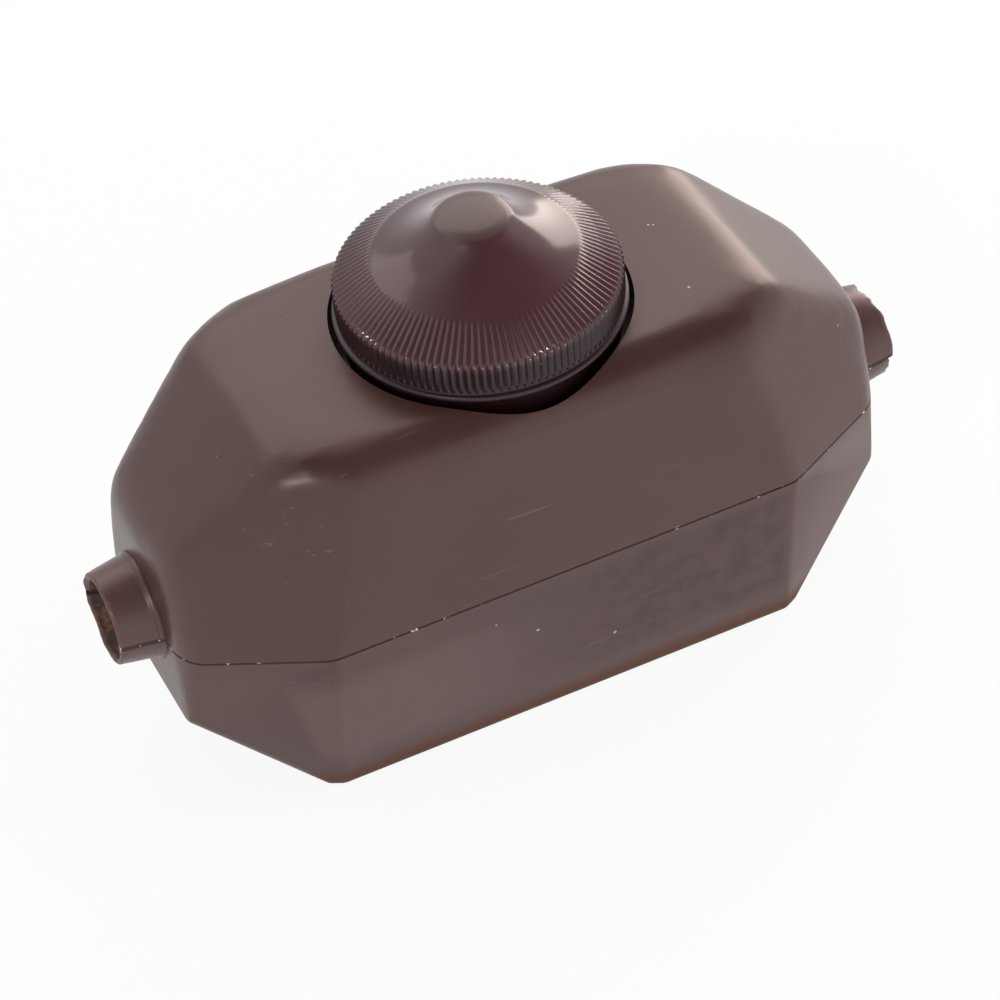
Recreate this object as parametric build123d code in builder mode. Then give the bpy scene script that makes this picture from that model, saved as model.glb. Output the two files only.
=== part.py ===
"""Rotary dimmer for a table lamp's cord: two moulded shells, a ribbed knob and the works between them."""

from math import asin, cos, hypot, pi, radians, sin
import os
from build123d import *

os.makedirs("parts", exist_ok=True)

# Housing outside, in millimetres: X along the cord, Z up, origin in the middle of the foot
body_half_length = 45.0
long_side_half = 29.6
body_half_width = 19.2
end_half_width = 11.2
seam_height = 24.0
body_height = 50.0
top_half_length = 30.2
top_half_width = 18.4
upper_slope_start = 12.5
foot_half_length = 30.6
foot_half_width = 16.4
lower_slope_start = 11.1
upper_edge_radius = 5.2
lower_edge_radius = 1.8
upper_chamfer_lean = 0.14
lower_chamfer_lean = 0.11
wall = 2.0
inner_edge_radius = 1.0

# Seam tongue of the lower shell, which locates the upper one
tongue_height = 1.6
tongue_thickness = 1.0
tongue_clearance = 0.15

# Cord stubs, half on each shell
inlet_radius = 4.0
stub_root_radius = 6.6
stub_tip_radius = 5.2
stub_length = 5.2
stub_chip_depth = 1.2
stub_chip_share = 0.35

# Knob well in the upper shell, on the knob's axis
knob_y = 0.0
well_radius = 17.5
well_depth = 7.5
well_wall = 1.4
well_floor = 2.0

# Knob
knob_rim_radius = 16.6
knob_lip_radius = 16.95
knob_band_radius = 16.45
knob_skirt_radius = 15.9
knob_skirt_depth = 4.0
knob_lip_height = 0.9
knob_lip_bottom = 0.9
knob_plain_band = 0.9
knob_rib_height = 2.4
knob_rib_count = 116
knob_rib_depth = 0.3
knob_shoulder_radius = 12.0
knob_shoulder_rise = 2.9
knob_tip_radius = 4.3
knob_tip_height = 13.8
knob_tip_crown = 0.7
knob_wall = 1.8
knob_hub_radius = 5.4
knob_hub_start = 3.5
knob_bore_depth = 9.0
knob_web_count = 6
knob_web_thickness = 1.2
knob_bell_sag = 0.55
knob_groove_share = 0.84
knob_groove_taper = 0.65

# Potentiometer
shaft_radius = 3.0
shaft_flat = 0.8
shaft_fit = 0.05
running_gap = 0.3
bushing_radius = 4.75
bushing_above_nut = 0.5
plate_radius = 8.6
plate_thickness = 1.5
can_wall = 0.6
can_depth = 7.8
wafer_thickness = 1.0
track_height = 0.15
track_inner_radius = 5.0
track_outer_radius = 6.8
wiper_radius = 5.6
wiper_thickness = 1.4
wiper_hub_radius = 4.3
contact_thickness = 0.25
contact_reach = 6.6
contact_width = 2.0
rotation_limit = 140.0
stop_margin = 4.0
track_margin = 8.0
nut_across_flats = 14.0
nut_thickness = 2.2
washer_radius = 7.6
washer_thickness = 0.6
tag_width = 2.0
tag_thickness = 0.4
tag_spacing = 3.6
tag_reach = 4.2

# Mains switch on the potentiometer's back
switch_depth = 6.0
switch_tag_length = 2.6
switch_tag_spacing = 4.0
lead_radius = 0.45

# Circuit board, plus shaped so that the screw sleeves pass its corners
board_bottom = 9.0
board_thickness = 1.6
board_half_length = 31.5
board_half_width = 14.0
board_middle_half_length = 19.4
board_ear_half_width = 7.2
board_post_x = 17.2
board_post_y = 11.8
board_post_radius = 2.0
board_screw_radius = 0.9
board_screw_head_radius = 1.5
board_screw_head_height = 1.0
board_screw_length = 4.5

# Housing screws, driven up from the foot
screw_x = 24.3
screw_y = 11.9
screw_radius = 1.5
screw_bite = 0.2
screw_head_radius = 2.6
screw_head_height = 1.8
screw_sink = 3.0
screw_reach = 9.0
screw_slot_width = 0.8
sleeve_radius = 4.0
sleeve_clearance = 0.2
boss_radius = 3.4

# Cord clamps just inside the inlets
clamp_x = 36.6
clamp_width = 6.0
clamp_screw_y = 7.2
clamp_half_length = 9.6
clamp_foot_thickness = 2.2
clamp_arch_radius = 3.6
clamp_wall = 1.8
clamp_seat_drop = 3.4
clamp_post_radius = 2.4
clamp_screw_radius = 1.1
clamp_screw_head_radius = 1.7
clamp_screw_head_height = 1.2
clamp_screw_length = 6.0

# Terminal blocks
terminal_x = 27.0
terminal_width = 8.0
terminal_half_length = 5.4
terminal_height = 10.0
terminal_pole_spacing = 5.4
terminal_mouth_radius = 1.5
terminal_mouth_height = 3.0
terminal_screw_radius = 1.5
terminal_screw_sink = 0.6
terminal_screw_length = 4.0
terminal_chamfer = 0.8
terminal_slot_width = 0.5
terminal_slot_depth = 0.5

# Parts on the board
choke_x, choke_y = -10.6, -3.8
choke_outer_radius = 7.4
choke_inner_radius = 4.2
choke_height = 5.8
choke_turns = 20
choke_wire = 0.7
choke_gap = 0.08
choke_wound_angle = 300
filter_x, filter_y = 10.0, -7.4
filter_length, filter_width, filter_height = 13.0, 6.0, 11.5
capacitor_edge_radius = 0.8
timing_x, timing_y = -0.4, -4.6
timing_length, timing_width, timing_height = 2.6, 7.0, 7.0
fuse_x, fuse_y = -9.0, 9.4
fuse_length = 20.0
fuse_radius = 2.6
fuse_cap_length = 5.0
fuse_cap_wall = 0.2
fuse_cap_end = 0.4
fuse_glass_wall = 0.5
fuse_clip_wall = 0.5
fuse_rise = 1.2
triac_x = 11.0
sink_front = 12.2
triac_width, triac_thickness, triac_body = 10.0, 4.4, 9.0
triac_tab_height, triac_tab_thickness = 6.0, 1.3
triac_leg_length, triac_leg_width, triac_leg_spacing = 3.4, 0.8, 2.54
sink_width, sink_height, sink_thickness = 16.0, 19.0, 1.5
sink_wing = 3.0
sink_bolt_above_body = 3.4
sink_nut_flats = 5.5
sink_nut_thickness = 2.0
sink_screw_radius = 1.5
sink_screw_head_radius = 2.7
axial_x = 11.6
axial_pitch = 10.2
resistor_length, resistor_radius = 6.4, 1.15
diac_length, diac_radius = 4.2, 0.95
axial_lead_radius = 0.3
resistor_rows = (-3.0, 0.3)
diac_row = 3.4

# Heights that follow
board_top = board_bottom + board_thickness
well_floor_top = body_height - well_depth
well_floor_bottom = well_floor_top - well_floor
plate_bottom = well_floor_bottom - plate_thickness
can_bottom = plate_bottom - can_depth
wafer_bottom = can_bottom + can_wall
wafer_top = wafer_bottom + wafer_thickness
track_top = wafer_top + track_height
wiper_bottom = track_top + running_gap
switch_bottom = can_bottom - switch_depth
washer_top = well_floor_top + washer_thickness
nut_top = washer_top + nut_thickness
bushing_top = nut_top + bushing_above_nut
hub_bottom = body_height - knob_hub_start
bore_top = body_height + knob_bore_depth
clamp_seat = seam_height - clamp_seat_drop
upper_inner_radius = max(upper_edge_radius - wall, inner_edge_radius)


def knob_plane(height):
    """Level plane with its origin on the knob's axis."""
    return Plane(origin=(0, knob_y, height))


def finish(part, name):
    """Label one finished piece and write it."""
    part.label = name
    export_step(part, f"parts/{name}.step")


def shell_form(flat_height, slope_height, flat_half_length, flat_half_width, chamfer_lean, inset, radius):
    """Outer or inner form of one shell: its faceted core, grown by the edge radius and cut at the seam.

    Every face is moved in by inset. flat_height is the height of the shell's flat top or foot,
    slope_height the height at which its ends begin to slope, and chamfer_lean how far the corner
    chamfers lean in for each unit of height away from the seam.
    """
    core_inset = inset + radius
    up = 1 if flat_height > seam_height else -1
    overrun = 2 * core_inset + wall
    far_height = seam_height - up * overrun
    lean = (body_half_width - flat_half_width) / abs(flat_height - seam_height)
    chamfer_x = body_half_length - long_side_half
    chamfer_y = body_half_width - end_half_width
    wide = body_half_width + 2 * wall
    far_half_width = body_half_width + lean * overrun
    with BuildPart() as form:
        # Plan: the ends and the four chamfers, which lean in towards the flat
        for height in (far_height, flat_height):
            shift = chamfer_lean * up * (height - seam_height) * hypot(chamfer_x, chamfer_y)
            end_y = end_half_width - shift / chamfer_x
            wide_x = long_side_half - (2 * wall * chamfer_x + shift) / chamfer_y
            with BuildSketch(Plane.XY.offset(height)):
                with BuildLine():
                    Polyline(
                        (-body_half_length, -end_y),
                        (-wide_x, -wide),
                        (wide_x, -wide),
                        (body_half_length, -end_y),
                        (body_half_length, end_y),
                        (wide_x, wide),
                        (-wide_x, wide),
                        (-body_half_length, end_y),
                        close=True,
                    )
                make_face()
                offset(amount=-core_inset, kind=Kind.INTERSECTION, mode=Mode.REPLACE)
        loft(ruled=True)
        # Side view: the flat and the two sloping ends
        with BuildSketch(Plane.XZ):
            with BuildLine():
                Polyline(
                    (-body_half_length, far_height),
                    (-body_half_length, slope_height),
                    (-flat_half_length, flat_height),
                    (flat_half_length, flat_height),
                    (body_half_length, slope_height),
                    (body_half_length, far_height),
                    close=True,
                )
            make_face()
            offset(amount=-core_inset, kind=Kind.INTERSECTION, mode=Mode.REPLACE)
        extrude(amount=2 * wide, both=True, mode=Mode.INTERSECT)
        # End view: the long sides, which lean in a little for the mould
        with BuildSketch(Plane.YZ):
            with BuildLine():
                Polyline(
                    (-far_half_width, far_height),
                    (-flat_half_width, flat_height),
                    (flat_half_width, flat_height),
                    (far_half_width, far_height),
                    close=True,
                )
            make_face()
            offset(amount=-core_inset, kind=Kind.INTERSECTION, mode=Mode.REPLACE)
        extrude(amount=2 * body_half_length, both=True, mode=Mode.INTERSECT)
        offset(amount=radius, kind=Kind.ARC)
        split(bisect_by=Plane.XY.offset(seam_height), keep=Keep.TOP if up > 0 else Keep.BOTTOM)
    return form.part


def upper_form(inset, radius):
    """Form of the upper shell, faces moved in by inset."""
    slope_height = seam_height + upper_slope_start
    return shell_form(
        body_height, slope_height, top_half_length, top_half_width, upper_chamfer_lean, inset, radius
    )


def lower_form(inset, radius):
    """Form of the lower shell, faces moved in by inset."""
    slope_height = seam_height - lower_slope_start
    return shell_form(0, slope_height, foot_half_length, foot_half_width, lower_chamfer_lean, inset, radius)


def seam_prism():
    """Upright block with the upper shell's outline at the seam, so that the lower corners match."""
    with BuildPart() as prism:
        with BuildSketch(Plane.XY):
            with BuildLine():
                Polyline(
                    (-long_side_half, -body_half_width),
                    (long_side_half, -body_half_width),
                    (body_half_length, -end_half_width),
                    (body_half_length, end_half_width),
                    (long_side_half, body_half_width),
                    (-long_side_half, body_half_width),
                    (-body_half_length, end_half_width),
                    (-body_half_length, -end_half_width),
                    close=True,
                )
            outline = make_face()
            fillet(outline.vertices(), upper_edge_radius)
        extrude(amount=seam_height)
    return prism.part


def stub_ring(keep):
    """Both cord stubs as cones on the cord's axis, the half above or below the seam."""
    with BuildPart() as stubs:
        for side in (-1, 1):
            root = Plane(origin=(side * (body_half_length - wall), 0, seam_height), z_dir=(side, 0, 0))
            grow = (stub_root_radius - stub_tip_radius) / stub_length * wall
            with BuildSketch(root):
                Circle(stub_root_radius + grow)
            with BuildSketch(root.offset(stub_length + wall)):
                Circle(stub_tip_radius)
            loft()
        split(bisect_by=Plane.XY.offset(seam_height), keep=keep)
    return stubs.part


def stub_chips(side, depth, start_angle, step_angle, count):
    """Wedges knocked out of a stub's open end, around the cord's axis from start_angle."""
    tip = Plane(origin=(side * (body_half_length + stub_length), 0, seam_height), z_dir=(-side, 0, 0))
    with BuildPart() as chips:
        for chip in range(count):
            angle = start_angle + chip * step_angle
            size = depth * (1 + stub_chip_share * (-1) ** chip)
            mid_radius = (inlet_radius + stub_tip_radius) / 2
            corner = tip.location * Rot(0, 0, angle) * Pos(mid_radius, 0, 0) * Rot(45, 0, 0)
            with Locations(corner):
                Box(3 * (stub_tip_radius - inlet_radius), size, size)
    return chips.part


def end_bores(radius, start):
    """Round cutters on the cord's axis, from start out past both stubs."""
    with BuildPart() as bores:
        for side in (-1, 1):
            with BuildSketch(Plane(origin=(side * start, 0, seam_height), z_dir=(side, 0, 0))):
                Circle(radius)
            extrude(amount=body_half_length + stub_length - start + 1)
    return bores


upper_outside = upper_form(0, upper_edge_radius)
upper_inside = upper_form(wall, upper_inner_radius)
lower_outside = lower_form(0, lower_edge_radius) & seam_prism()
lower_inside = lower_form(wall, inner_edge_radius)
upper_stubs = stub_ring(Keep.TOP)
lower_stubs = stub_ring(Keep.BOTTOM)
inlet_start = body_half_length - wall - tongue_clearance - tongue_thickness - sleeve_clearance
inlet_bores = end_bores(inlet_radius, inlet_start)

# What fills the upper shell inside its wall: the knob well's cup and the four screw bosses
with BuildPart() as upper_fill:
    with BuildSketch(knob_plane(well_floor_bottom)):
        Circle(well_radius + well_wall)
    extrude(amount=well_depth + well_floor)
    with BuildSketch(Plane.XY.offset(seam_height)):
        with GridLocations(2 * screw_x, 2 * screw_y, 2, 2):
            Circle(boss_radius)
    extrude(amount=body_height - seam_height)

with BuildPart() as upper_hollow:
    add(upper_inside)
    add(upper_fill.part, mode=Mode.SUBTRACT)

with BuildPart() as upper_shell:
    add(upper_outside)
    add(upper_stubs)
    add(upper_hollow.part, mode=Mode.SUBTRACT)
    # Knob well and the bushing's hole in its floor
    with BuildSketch(knob_plane(well_floor_top)):
        Circle(well_radius)
    extrude(amount=well_depth + 1, mode=Mode.SUBTRACT)
    with BuildSketch(knob_plane(well_floor_bottom)):
        Circle(bushing_radius + sleeve_clearance)
    extrude(amount=well_floor, mode=Mode.SUBTRACT)
    # Pilot holes
    with BuildSketch(Plane.XY.offset(seam_height)):
        with GridLocations(2 * screw_x, 2 * screw_y, 2, 2):
            Circle(screw_radius - screw_bite)
    extrude(amount=screw_reach + screw_radius, mode=Mode.SUBTRACT)
    # Cord inlets
    add(inlet_bores.part, mode=Mode.SUBTRACT)
    # Broken edges of the stubs
    add(stub_chips(-1, 0.6 * stub_chip_depth, 100, 33, 3), mode=Mode.SUBTRACT)
    add(stub_chips(1, stub_chip_depth, 20, 28, 4), mode=Mode.SUBTRACT)
finish(upper_shell.part, "upper_shell")

# What stands in the lower shell: screw sleeves, board posts and clamp posts
with BuildPart() as lower_fill:
    with BuildSketch(Plane.XY):
        with GridLocations(2 * screw_x, 2 * screw_y, 2, 2):
            Circle(sleeve_radius)
    extrude(amount=seam_height)
    with BuildSketch(Plane.XY):
        with GridLocations(2 * board_post_x, 2 * board_post_y, 2, 2):
            Circle(board_post_radius)
    extrude(amount=board_bottom)
    with BuildSketch(Plane.XY):
        with GridLocations(2 * clamp_x, 2 * clamp_screw_y, 2, 2):
            Circle(clamp_post_radius)
    extrude(amount=clamp_seat)
    with BuildSketch(Plane.XY):
        with GridLocations(2 * clamp_x, 1, 2, 1):
            Rectangle(wall, 2 * clamp_screw_y)
    extrude(amount=seam_height - inlet_radius)

with BuildPart() as lower_hollow:
    add(lower_inside)
    add(lower_fill.part, mode=Mode.SUBTRACT)


# Tongue inside the upper shell's wall, on a ledge that joins it to the lower shell's wall
tongue_inset = wall + tongue_clearance
with BuildPart() as tongue:
    add(upper_form(tongue_inset, upper_inner_radius))
    split(bisect_by=Plane.XY.offset(seam_height + tongue_height), keep=Keep.BOTTOM)
    add(lower_inside)
    add(upper_form(tongue_inset + tongue_thickness, upper_inner_radius), mode=Mode.SUBTRACT)
    add(lower_form(tongue_inset + tongue_thickness, inner_edge_radius), mode=Mode.SUBTRACT)
    split(bisect_by=Plane.XY.offset(seam_height - tongue_height), keep=Keep.TOP)
    with BuildSketch(Plane.XY.offset(seam_height)):
        with GridLocations(2 * screw_x, 2 * screw_y, 2, 2):
            Circle(boss_radius + sleeve_clearance)
    extrude(amount=tongue_height, mode=Mode.SUBTRACT)
    add(end_bores(inlet_radius + tongue_thickness, inlet_start).part, mode=Mode.SUBTRACT)

with BuildPart() as lower_shell:
    add(lower_outside)
    add(lower_stubs)
    add(lower_hollow.part, mode=Mode.SUBTRACT)
    add(tongue.part)
    # Screw holes and the sinks for the heads
    with BuildSketch(Plane.XY):
        with GridLocations(2 * screw_x, 2 * screw_y, 2, 2):
            Circle(screw_radius + sleeve_clearance)
    extrude(amount=seam_height, mode=Mode.SUBTRACT)
    with BuildSketch(Plane.XY):
        with GridLocations(2 * screw_x, 2 * screw_y, 2, 2):
            Circle(screw_head_radius + sleeve_clearance)
    extrude(amount=screw_sink, mode=Mode.SUBTRACT)
    # Pilot holes in the board posts and the clamp posts
    with BuildSketch(Plane.XY.offset(board_bottom)):
        with GridLocations(2 * board_post_x, 2 * board_post_y, 2, 2):
            Circle(board_screw_radius - screw_bite)
    extrude(amount=-(board_screw_length - board_thickness), mode=Mode.SUBTRACT)
    with BuildSketch(Plane.XY.offset(clamp_seat)):
        with GridLocations(2 * clamp_x, 2 * clamp_screw_y, 2, 2):
            Circle(clamp_screw_radius - screw_bite)
    extrude(amount=-(clamp_screw_length - clamp_foot_thickness), mode=Mode.SUBTRACT)
    # Cord inlets
    add(inlet_bores.part, mode=Mode.SUBTRACT)
    # Broken edges of the stubs
    add(stub_chips(-1, stub_chip_depth, 200, 30, 5), mode=Mode.SUBTRACT)
    add(stub_chips(1, stub_chip_depth, 250, 27, 4), mode=Mode.SUBTRACT)
finish(lower_shell.part, "lower_shell")


def slotted_screw(base, length, radius, head_radius, head_height):
    """Pan-head screw with a driver slot: base is the plane under its head, its normal along the shank."""
    with BuildPart() as screw:
        with BuildSketch(base):
            Circle(radius)
        extrude(amount=length)
        with BuildSketch(base):
            Circle(head_radius)
        extrude(amount=-head_height)
        head_rim = screw.faces().sort_by_distance(base.offset(-head_height).origin)[0].edges()
        fillet(head_rim, head_height / 3)
        with BuildSketch(base.offset(-head_height)):
            Rectangle(2 * head_radius, screw_slot_width * head_radius / screw_head_radius)
        extrude(amount=head_height / 2, mode=Mode.SUBTRACT)
    return screw.part


def level_places(reach_x, reach_y, height, up):
    """Planes at the four corners of a rectangle, facing up or down."""
    corners = [(x, y) for x in (-reach_x, reach_x) for y in (-reach_y, reach_y)]
    return [Plane(origin=(x, y, height), x_dir=(1, 0, 0), z_dir=(0, 0, up)) for x, y in corners]


with BuildPart() as housing_screws:
    for place in level_places(screw_x, screw_y, screw_sink, 1):
        shank = seam_height + screw_reach - screw_sink
        add(slotted_screw(place, shank, screw_radius, screw_head_radius, screw_head_height))
finish(housing_screws.part, "housing_screws")

# Knob: the outline turned about its axis
lip_bottom = body_height + knob_lip_bottom
lip_top = lip_bottom + knob_lip_height
rib_bottom = lip_top + knob_plain_band
rim_height = rib_bottom + knob_rib_height
shoulder_height = rim_height + knob_shoulder_rise
tip_top = body_height + knob_tip_height
tip_edge = tip_top - knob_tip_crown
skirt_bottom = body_height - knob_skirt_depth
bell_run = knob_shoulder_radius - knob_tip_radius
bell_rise = tip_edge - shoulder_height
bell_sag = knob_bell_sag / hypot(bell_run, bell_rise)
bell_middle = (
    (knob_shoulder_radius + knob_tip_radius) / 2 - bell_sag * bell_rise,
    (shoulder_height + tip_edge) / 2 - bell_sag * bell_run,
)
knob_upright = Plane(origin=(0, knob_y, 0), x_dir=(1, 0, 0), z_dir=(0, -1, 0))

with BuildPart() as knob_hollow:
    inner_radius = knob_skirt_radius - knob_wall
    with BuildSketch(knob_upright):
        with BuildLine():
            Polyline(
                (0, skirt_bottom - 1),
                (inner_radius, skirt_bottom - 1),
                (inner_radius, rim_height - knob_wall),
                (knob_shoulder_radius - knob_wall / 2, shoulder_height - knob_wall),
                (knob_hub_radius, bore_top),
                (knob_hub_radius, hub_bottom),
                (0, hub_bottom),
                close=True,
            )
        make_face()
    revolve(axis=Axis((0, knob_y, 0), (0, 0, 1)))
    with BuildSketch(knob_plane(body_height)):
        with PolarLocations(0, knob_web_count // 2, angular_range=180):
            Rectangle(2 * inner_radius, knob_web_thickness)
    extrude(amount=knob_bore_depth, mode=Mode.SUBTRACT)

with BuildPart() as knob_groove:
    pitch = 2 * pi * knob_rim_radius / knob_rib_count
    groove_half = knob_groove_share * pitch / 2
    with BuildSketch(knob_plane(rib_bottom)):
        with BuildLine():
            Polyline(
                (knob_rim_radius - knob_rib_depth, 0),
                (knob_rim_radius + knob_rib_depth, 2 * groove_half),
                (knob_rim_radius + knob_rib_depth, -2 * groove_half),
                close=True,
            )
        make_face()
    extrude(amount=knob_rib_height + knob_rib_depth)

# Groove of the sloping shoulder: it narrows and shallows towards the bell
with BuildPart() as shoulder_groove:
    slope_run = knob_rim_radius - knob_shoulder_radius
    slope_length = hypot(slope_run, knob_shoulder_rise)
    along = (-slope_run / slope_length, 0, knob_shoulder_rise / slope_length)
    rim_end = Plane(origin=(knob_rim_radius, knob_y, rim_height), x_dir=(0, 1, 0), z_dir=along)
    for distance, share in ((-knob_rib_depth, 1), (slope_length, knob_groove_taper)):
        with BuildSketch(rim_end.offset(distance)):
            with BuildLine():
                Polyline(
                    (0, knob_rib_depth * share),
                    (2 * groove_half * share, -knob_rib_depth * share),
                    (-2 * groove_half * share, -knob_rib_depth * share),
                    close=True,
                )
            make_face()
    loft()

# Low crown of the tip, part of a large sphere
crown_sphere = (knob_tip_radius**2 + knob_tip_crown**2) / (2 * knob_tip_crown)
crown_angle = asin(knob_tip_radius / crown_sphere) / 2
crown_middle = (crown_sphere * sin(crown_angle), tip_top - crown_sphere * (1 - cos(crown_angle)))

with BuildPart() as knob:
    with BuildSketch(knob_upright):
        with BuildLine():
            Polyline(
                (0, tip_top),
                (0, skirt_bottom),
                (knob_skirt_radius, skirt_bottom),
                (knob_skirt_radius, lip_bottom),
                (knob_lip_radius, lip_bottom),
                (knob_lip_radius, lip_top),
                (knob_band_radius, lip_top),
                (knob_band_radius, rib_bottom),
                (knob_rim_radius, rib_bottom),
                (knob_rim_radius, rim_height),
                (knob_shoulder_radius, shoulder_height),
            )
            ThreePointArc((knob_shoulder_radius, shoulder_height), bell_middle, (knob_tip_radius, tip_edge))
            ThreePointArc((knob_tip_radius, tip_edge), crown_middle, (0, tip_top))
        make_face()
    revolve(axis=Axis((0, knob_y, 0), (0, 0, 1)))
    add(knob_hollow.part, mode=Mode.SUBTRACT)
    # Bore for the shaft, with the shaft's flat
    with BuildSketch(knob_plane(hub_bottom)):
        Circle(shaft_radius + shaft_fit)
        with Locations((2 * shaft_radius - shaft_flat + shaft_fit, 0)):
            Rectangle(2 * shaft_radius, 2 * knob_hub_radius, mode=Mode.SUBTRACT)
    extrude(amount=bore_top - hub_bottom, mode=Mode.SUBTRACT)
    with Locations((0, knob_y, 0)):
        with PolarLocations(0, knob_rib_count):
            add(knob_groove.part, mode=Mode.SUBTRACT)
            add(shoulder_groove.part, mode=Mode.SUBTRACT)
finish(knob.part, "knob")

# Potentiometer, hung in the well's floor by its bushing
with BuildPart() as pot_shaft:
    with BuildSketch(knob_plane(wiper_bottom)):
        Circle(shaft_radius)
    extrude(amount=bore_top - running_gap - wiper_bottom)
    flat_start = (bushing_top + hub_bottom) / 2
    with BuildSketch(knob_plane(flat_start)):
        with Locations((2 * shaft_radius - shaft_flat, 0)):
            Rectangle(2 * shaft_radius, 2 * shaft_radius)
    extrude(amount=bore_top - flat_start, mode=Mode.SUBTRACT)
    chamfer(pot_shaft.edges().group_by(Axis.Z)[-1], shaft_flat / 2)
finish(pot_shaft.part, "pot_shaft")

with BuildPart() as pot_bushing:
    with BuildSketch(knob_plane(plate_bottom)):
        Circle(plate_radius)
    extrude(amount=plate_thickness)
    with BuildSketch(knob_plane(well_floor_bottom)):
        Circle(bushing_radius)
    extrude(amount=bushing_top - well_floor_bottom)
    with BuildSketch(knob_plane(plate_bottom)):
        Circle(shaft_radius + shaft_fit)
    extrude(amount=bushing_top - plate_bottom, mode=Mode.SUBTRACT)
finish(pot_bushing.part, "pot_bushing")

with BuildPart() as pot_washer:
    with BuildSketch(knob_plane(well_floor_top)):
        Circle(washer_radius)
        Circle(bushing_radius + shaft_fit, mode=Mode.SUBTRACT)
    extrude(amount=washer_thickness)
finish(pot_washer.part, "pot_washer")

with BuildPart() as pot_nut:
    with BuildSketch(knob_plane(washer_top)):
        RegularPolygon(nut_across_flats / 2, 6, major_radius=False)
        Circle(bushing_radius + shaft_fit, mode=Mode.SUBTRACT)
    extrude(amount=nut_thickness)
finish(pot_nut.part, "pot_nut")


def sector(base, inner, outer, middle_angle, half_angle, height):
    """Part of a ring on the base plane, half_angle each side of middle_angle."""
    shares = (-1, -1 / 3, 1 / 3, 1)
    turns = [radians(middle_angle + half_angle * share) for share in shares]
    far = outer / cos(radians(half_angle / 3)) + 1
    with BuildPart() as piece:
        with BuildSketch(base):
            Circle(outer)
            Circle(inner, mode=Mode.SUBTRACT)
            with BuildLine():
                fan = [(far * cos(turn), far * sin(turn)) for turn in turns]
                Polyline((0, 0), *fan, close=True)
            make_face(mode=Mode.INTERSECT)
        extrude(amount=height)
    return piece.part


stop_half_angle = (180 - rotation_limit - stop_margin) / 2
stop_bottom = wiper_bottom + contact_thickness
can_inner_radius = plate_radius - can_wall
with BuildPart() as pot_can:
    with BuildSketch(knob_plane(can_bottom)):
        Circle(plate_radius)
    extrude(amount=can_depth)
    with BuildSketch(knob_plane(wafer_bottom)):
        Circle(can_inner_radius)
    extrude(amount=can_depth, mode=Mode.SUBTRACT)
    # Slot for the three terminals
    slot_width = 2 * tag_spacing + tag_width + 2 * running_gap
    with BuildSketch(knob_plane(wafer_bottom)):
        with Locations((0, -plate_radius)):
            Rectangle(slot_width, 2 * (plate_radius - track_inner_radius))
    extrude(amount=wafer_thickness + tag_thickness + running_gap, mode=Mode.SUBTRACT)
    # Stop lug, bent in over the terminals
    lug_inner = wiper_radius + running_gap
    lug_outer = can_inner_radius + can_wall / 2
    add(sector(knob_plane(stop_bottom), lug_inner, lug_outer, -90, stop_half_angle, wiper_thickness))
finish(pot_can.part, "pot_can")

with BuildPart() as pot_track:
    with BuildSketch(knob_plane(wafer_bottom)):
        Circle(can_inner_radius)
        Circle(shaft_radius + running_gap, mode=Mode.SUBTRACT)
    extrude(amount=wafer_thickness)
    track_half_angle = rotation_limit + track_margin
    add(
        sector(
            knob_plane(wafer_top), track_inner_radius, track_outer_radius, 90, track_half_angle, track_height
        )
    )
finish(pot_track.part, "pot_track")

with BuildPart() as pot_wiper:
    with BuildSketch(knob_plane(stop_bottom)):
        Circle(wiper_radius)
    extrude(amount=wiper_thickness)
    arm_reach = can_inner_radius - 2 * running_gap
    add(sector(knob_plane(stop_bottom), wiper_hub_radius, arm_reach, 90, stop_half_angle, wiper_thickness))
    with BuildSketch(knob_plane(stop_bottom)):
        Circle(wiper_hub_radius)
    extrude(amount=plate_bottom - running_gap - stop_bottom)
    with BuildSketch(knob_plane(stop_bottom)):
        Circle(shaft_radius)
    extrude(amount=can_depth, mode=Mode.SUBTRACT)
finish(pot_wiper.part, "pot_wiper")

with BuildPart() as wiper_contact:
    with BuildSketch(knob_plane(wiper_bottom)):
        Circle(wiper_hub_radius)
        with Locations((0, contact_reach / 2)):
            Rectangle(contact_width, contact_reach)
        Circle(shaft_radius, mode=Mode.SUBTRACT)
    extrude(amount=contact_thickness)
finish(wiper_contact.part, "wiper_contact")

tag_end = plate_radius + tag_reach
tag_columns = (-tag_spacing, 0, tag_spacing)
lead_y = knob_y - tag_end + tag_width / 2
with BuildPart() as pot_terminals:
    with BuildSketch(knob_plane(wafer_top)):
        for column in tag_columns:
            with Locations((column, -(contact_reach + running_gap + tag_end) / 2)):
                Rectangle(tag_width, tag_end - contact_reach - running_gap)
    extrude(amount=tag_thickness)
finish(pot_terminals.part, "pot_terminals")


def upright_wires(places, bottom, top):
    """Straight insulated leads that stand on the board."""
    with BuildPart() as wires:
        with BuildSketch(Plane.XY.offset(bottom)):
            with Locations(*places):
                Circle(lead_radius)
        extrude(amount=top - bottom)
    return wires.part


pot_leads = upright_wires([(column, lead_y) for column in tag_columns], board_top, wafer_top)
finish(pot_leads, "pot_leads")

# Mains switch, closed, on the back of the potentiometer's can
switch_tags = [(side * switch_tag_spacing / 2, knob_y + shaft_radius) for side in (-1, 1)]
with BuildPart() as switch_case:
    with BuildSketch(knob_plane(switch_bottom)):
        Circle(plate_radius - can_wall)
    extrude(amount=switch_depth)
    fillet(switch_case.edges().group_by(Axis.Z)[0], can_wall)
finish(switch_case.part, "switch_case")

with BuildPart() as switch_terminals:
    with BuildSketch(Plane.XY.offset(switch_bottom)):
        with Locations(*switch_tags):
            Rectangle(tag_thickness + 2 * lead_radius, tag_width)
    extrude(amount=-switch_tag_length)
finish(switch_terminals.part, "switch_terminals")

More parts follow.
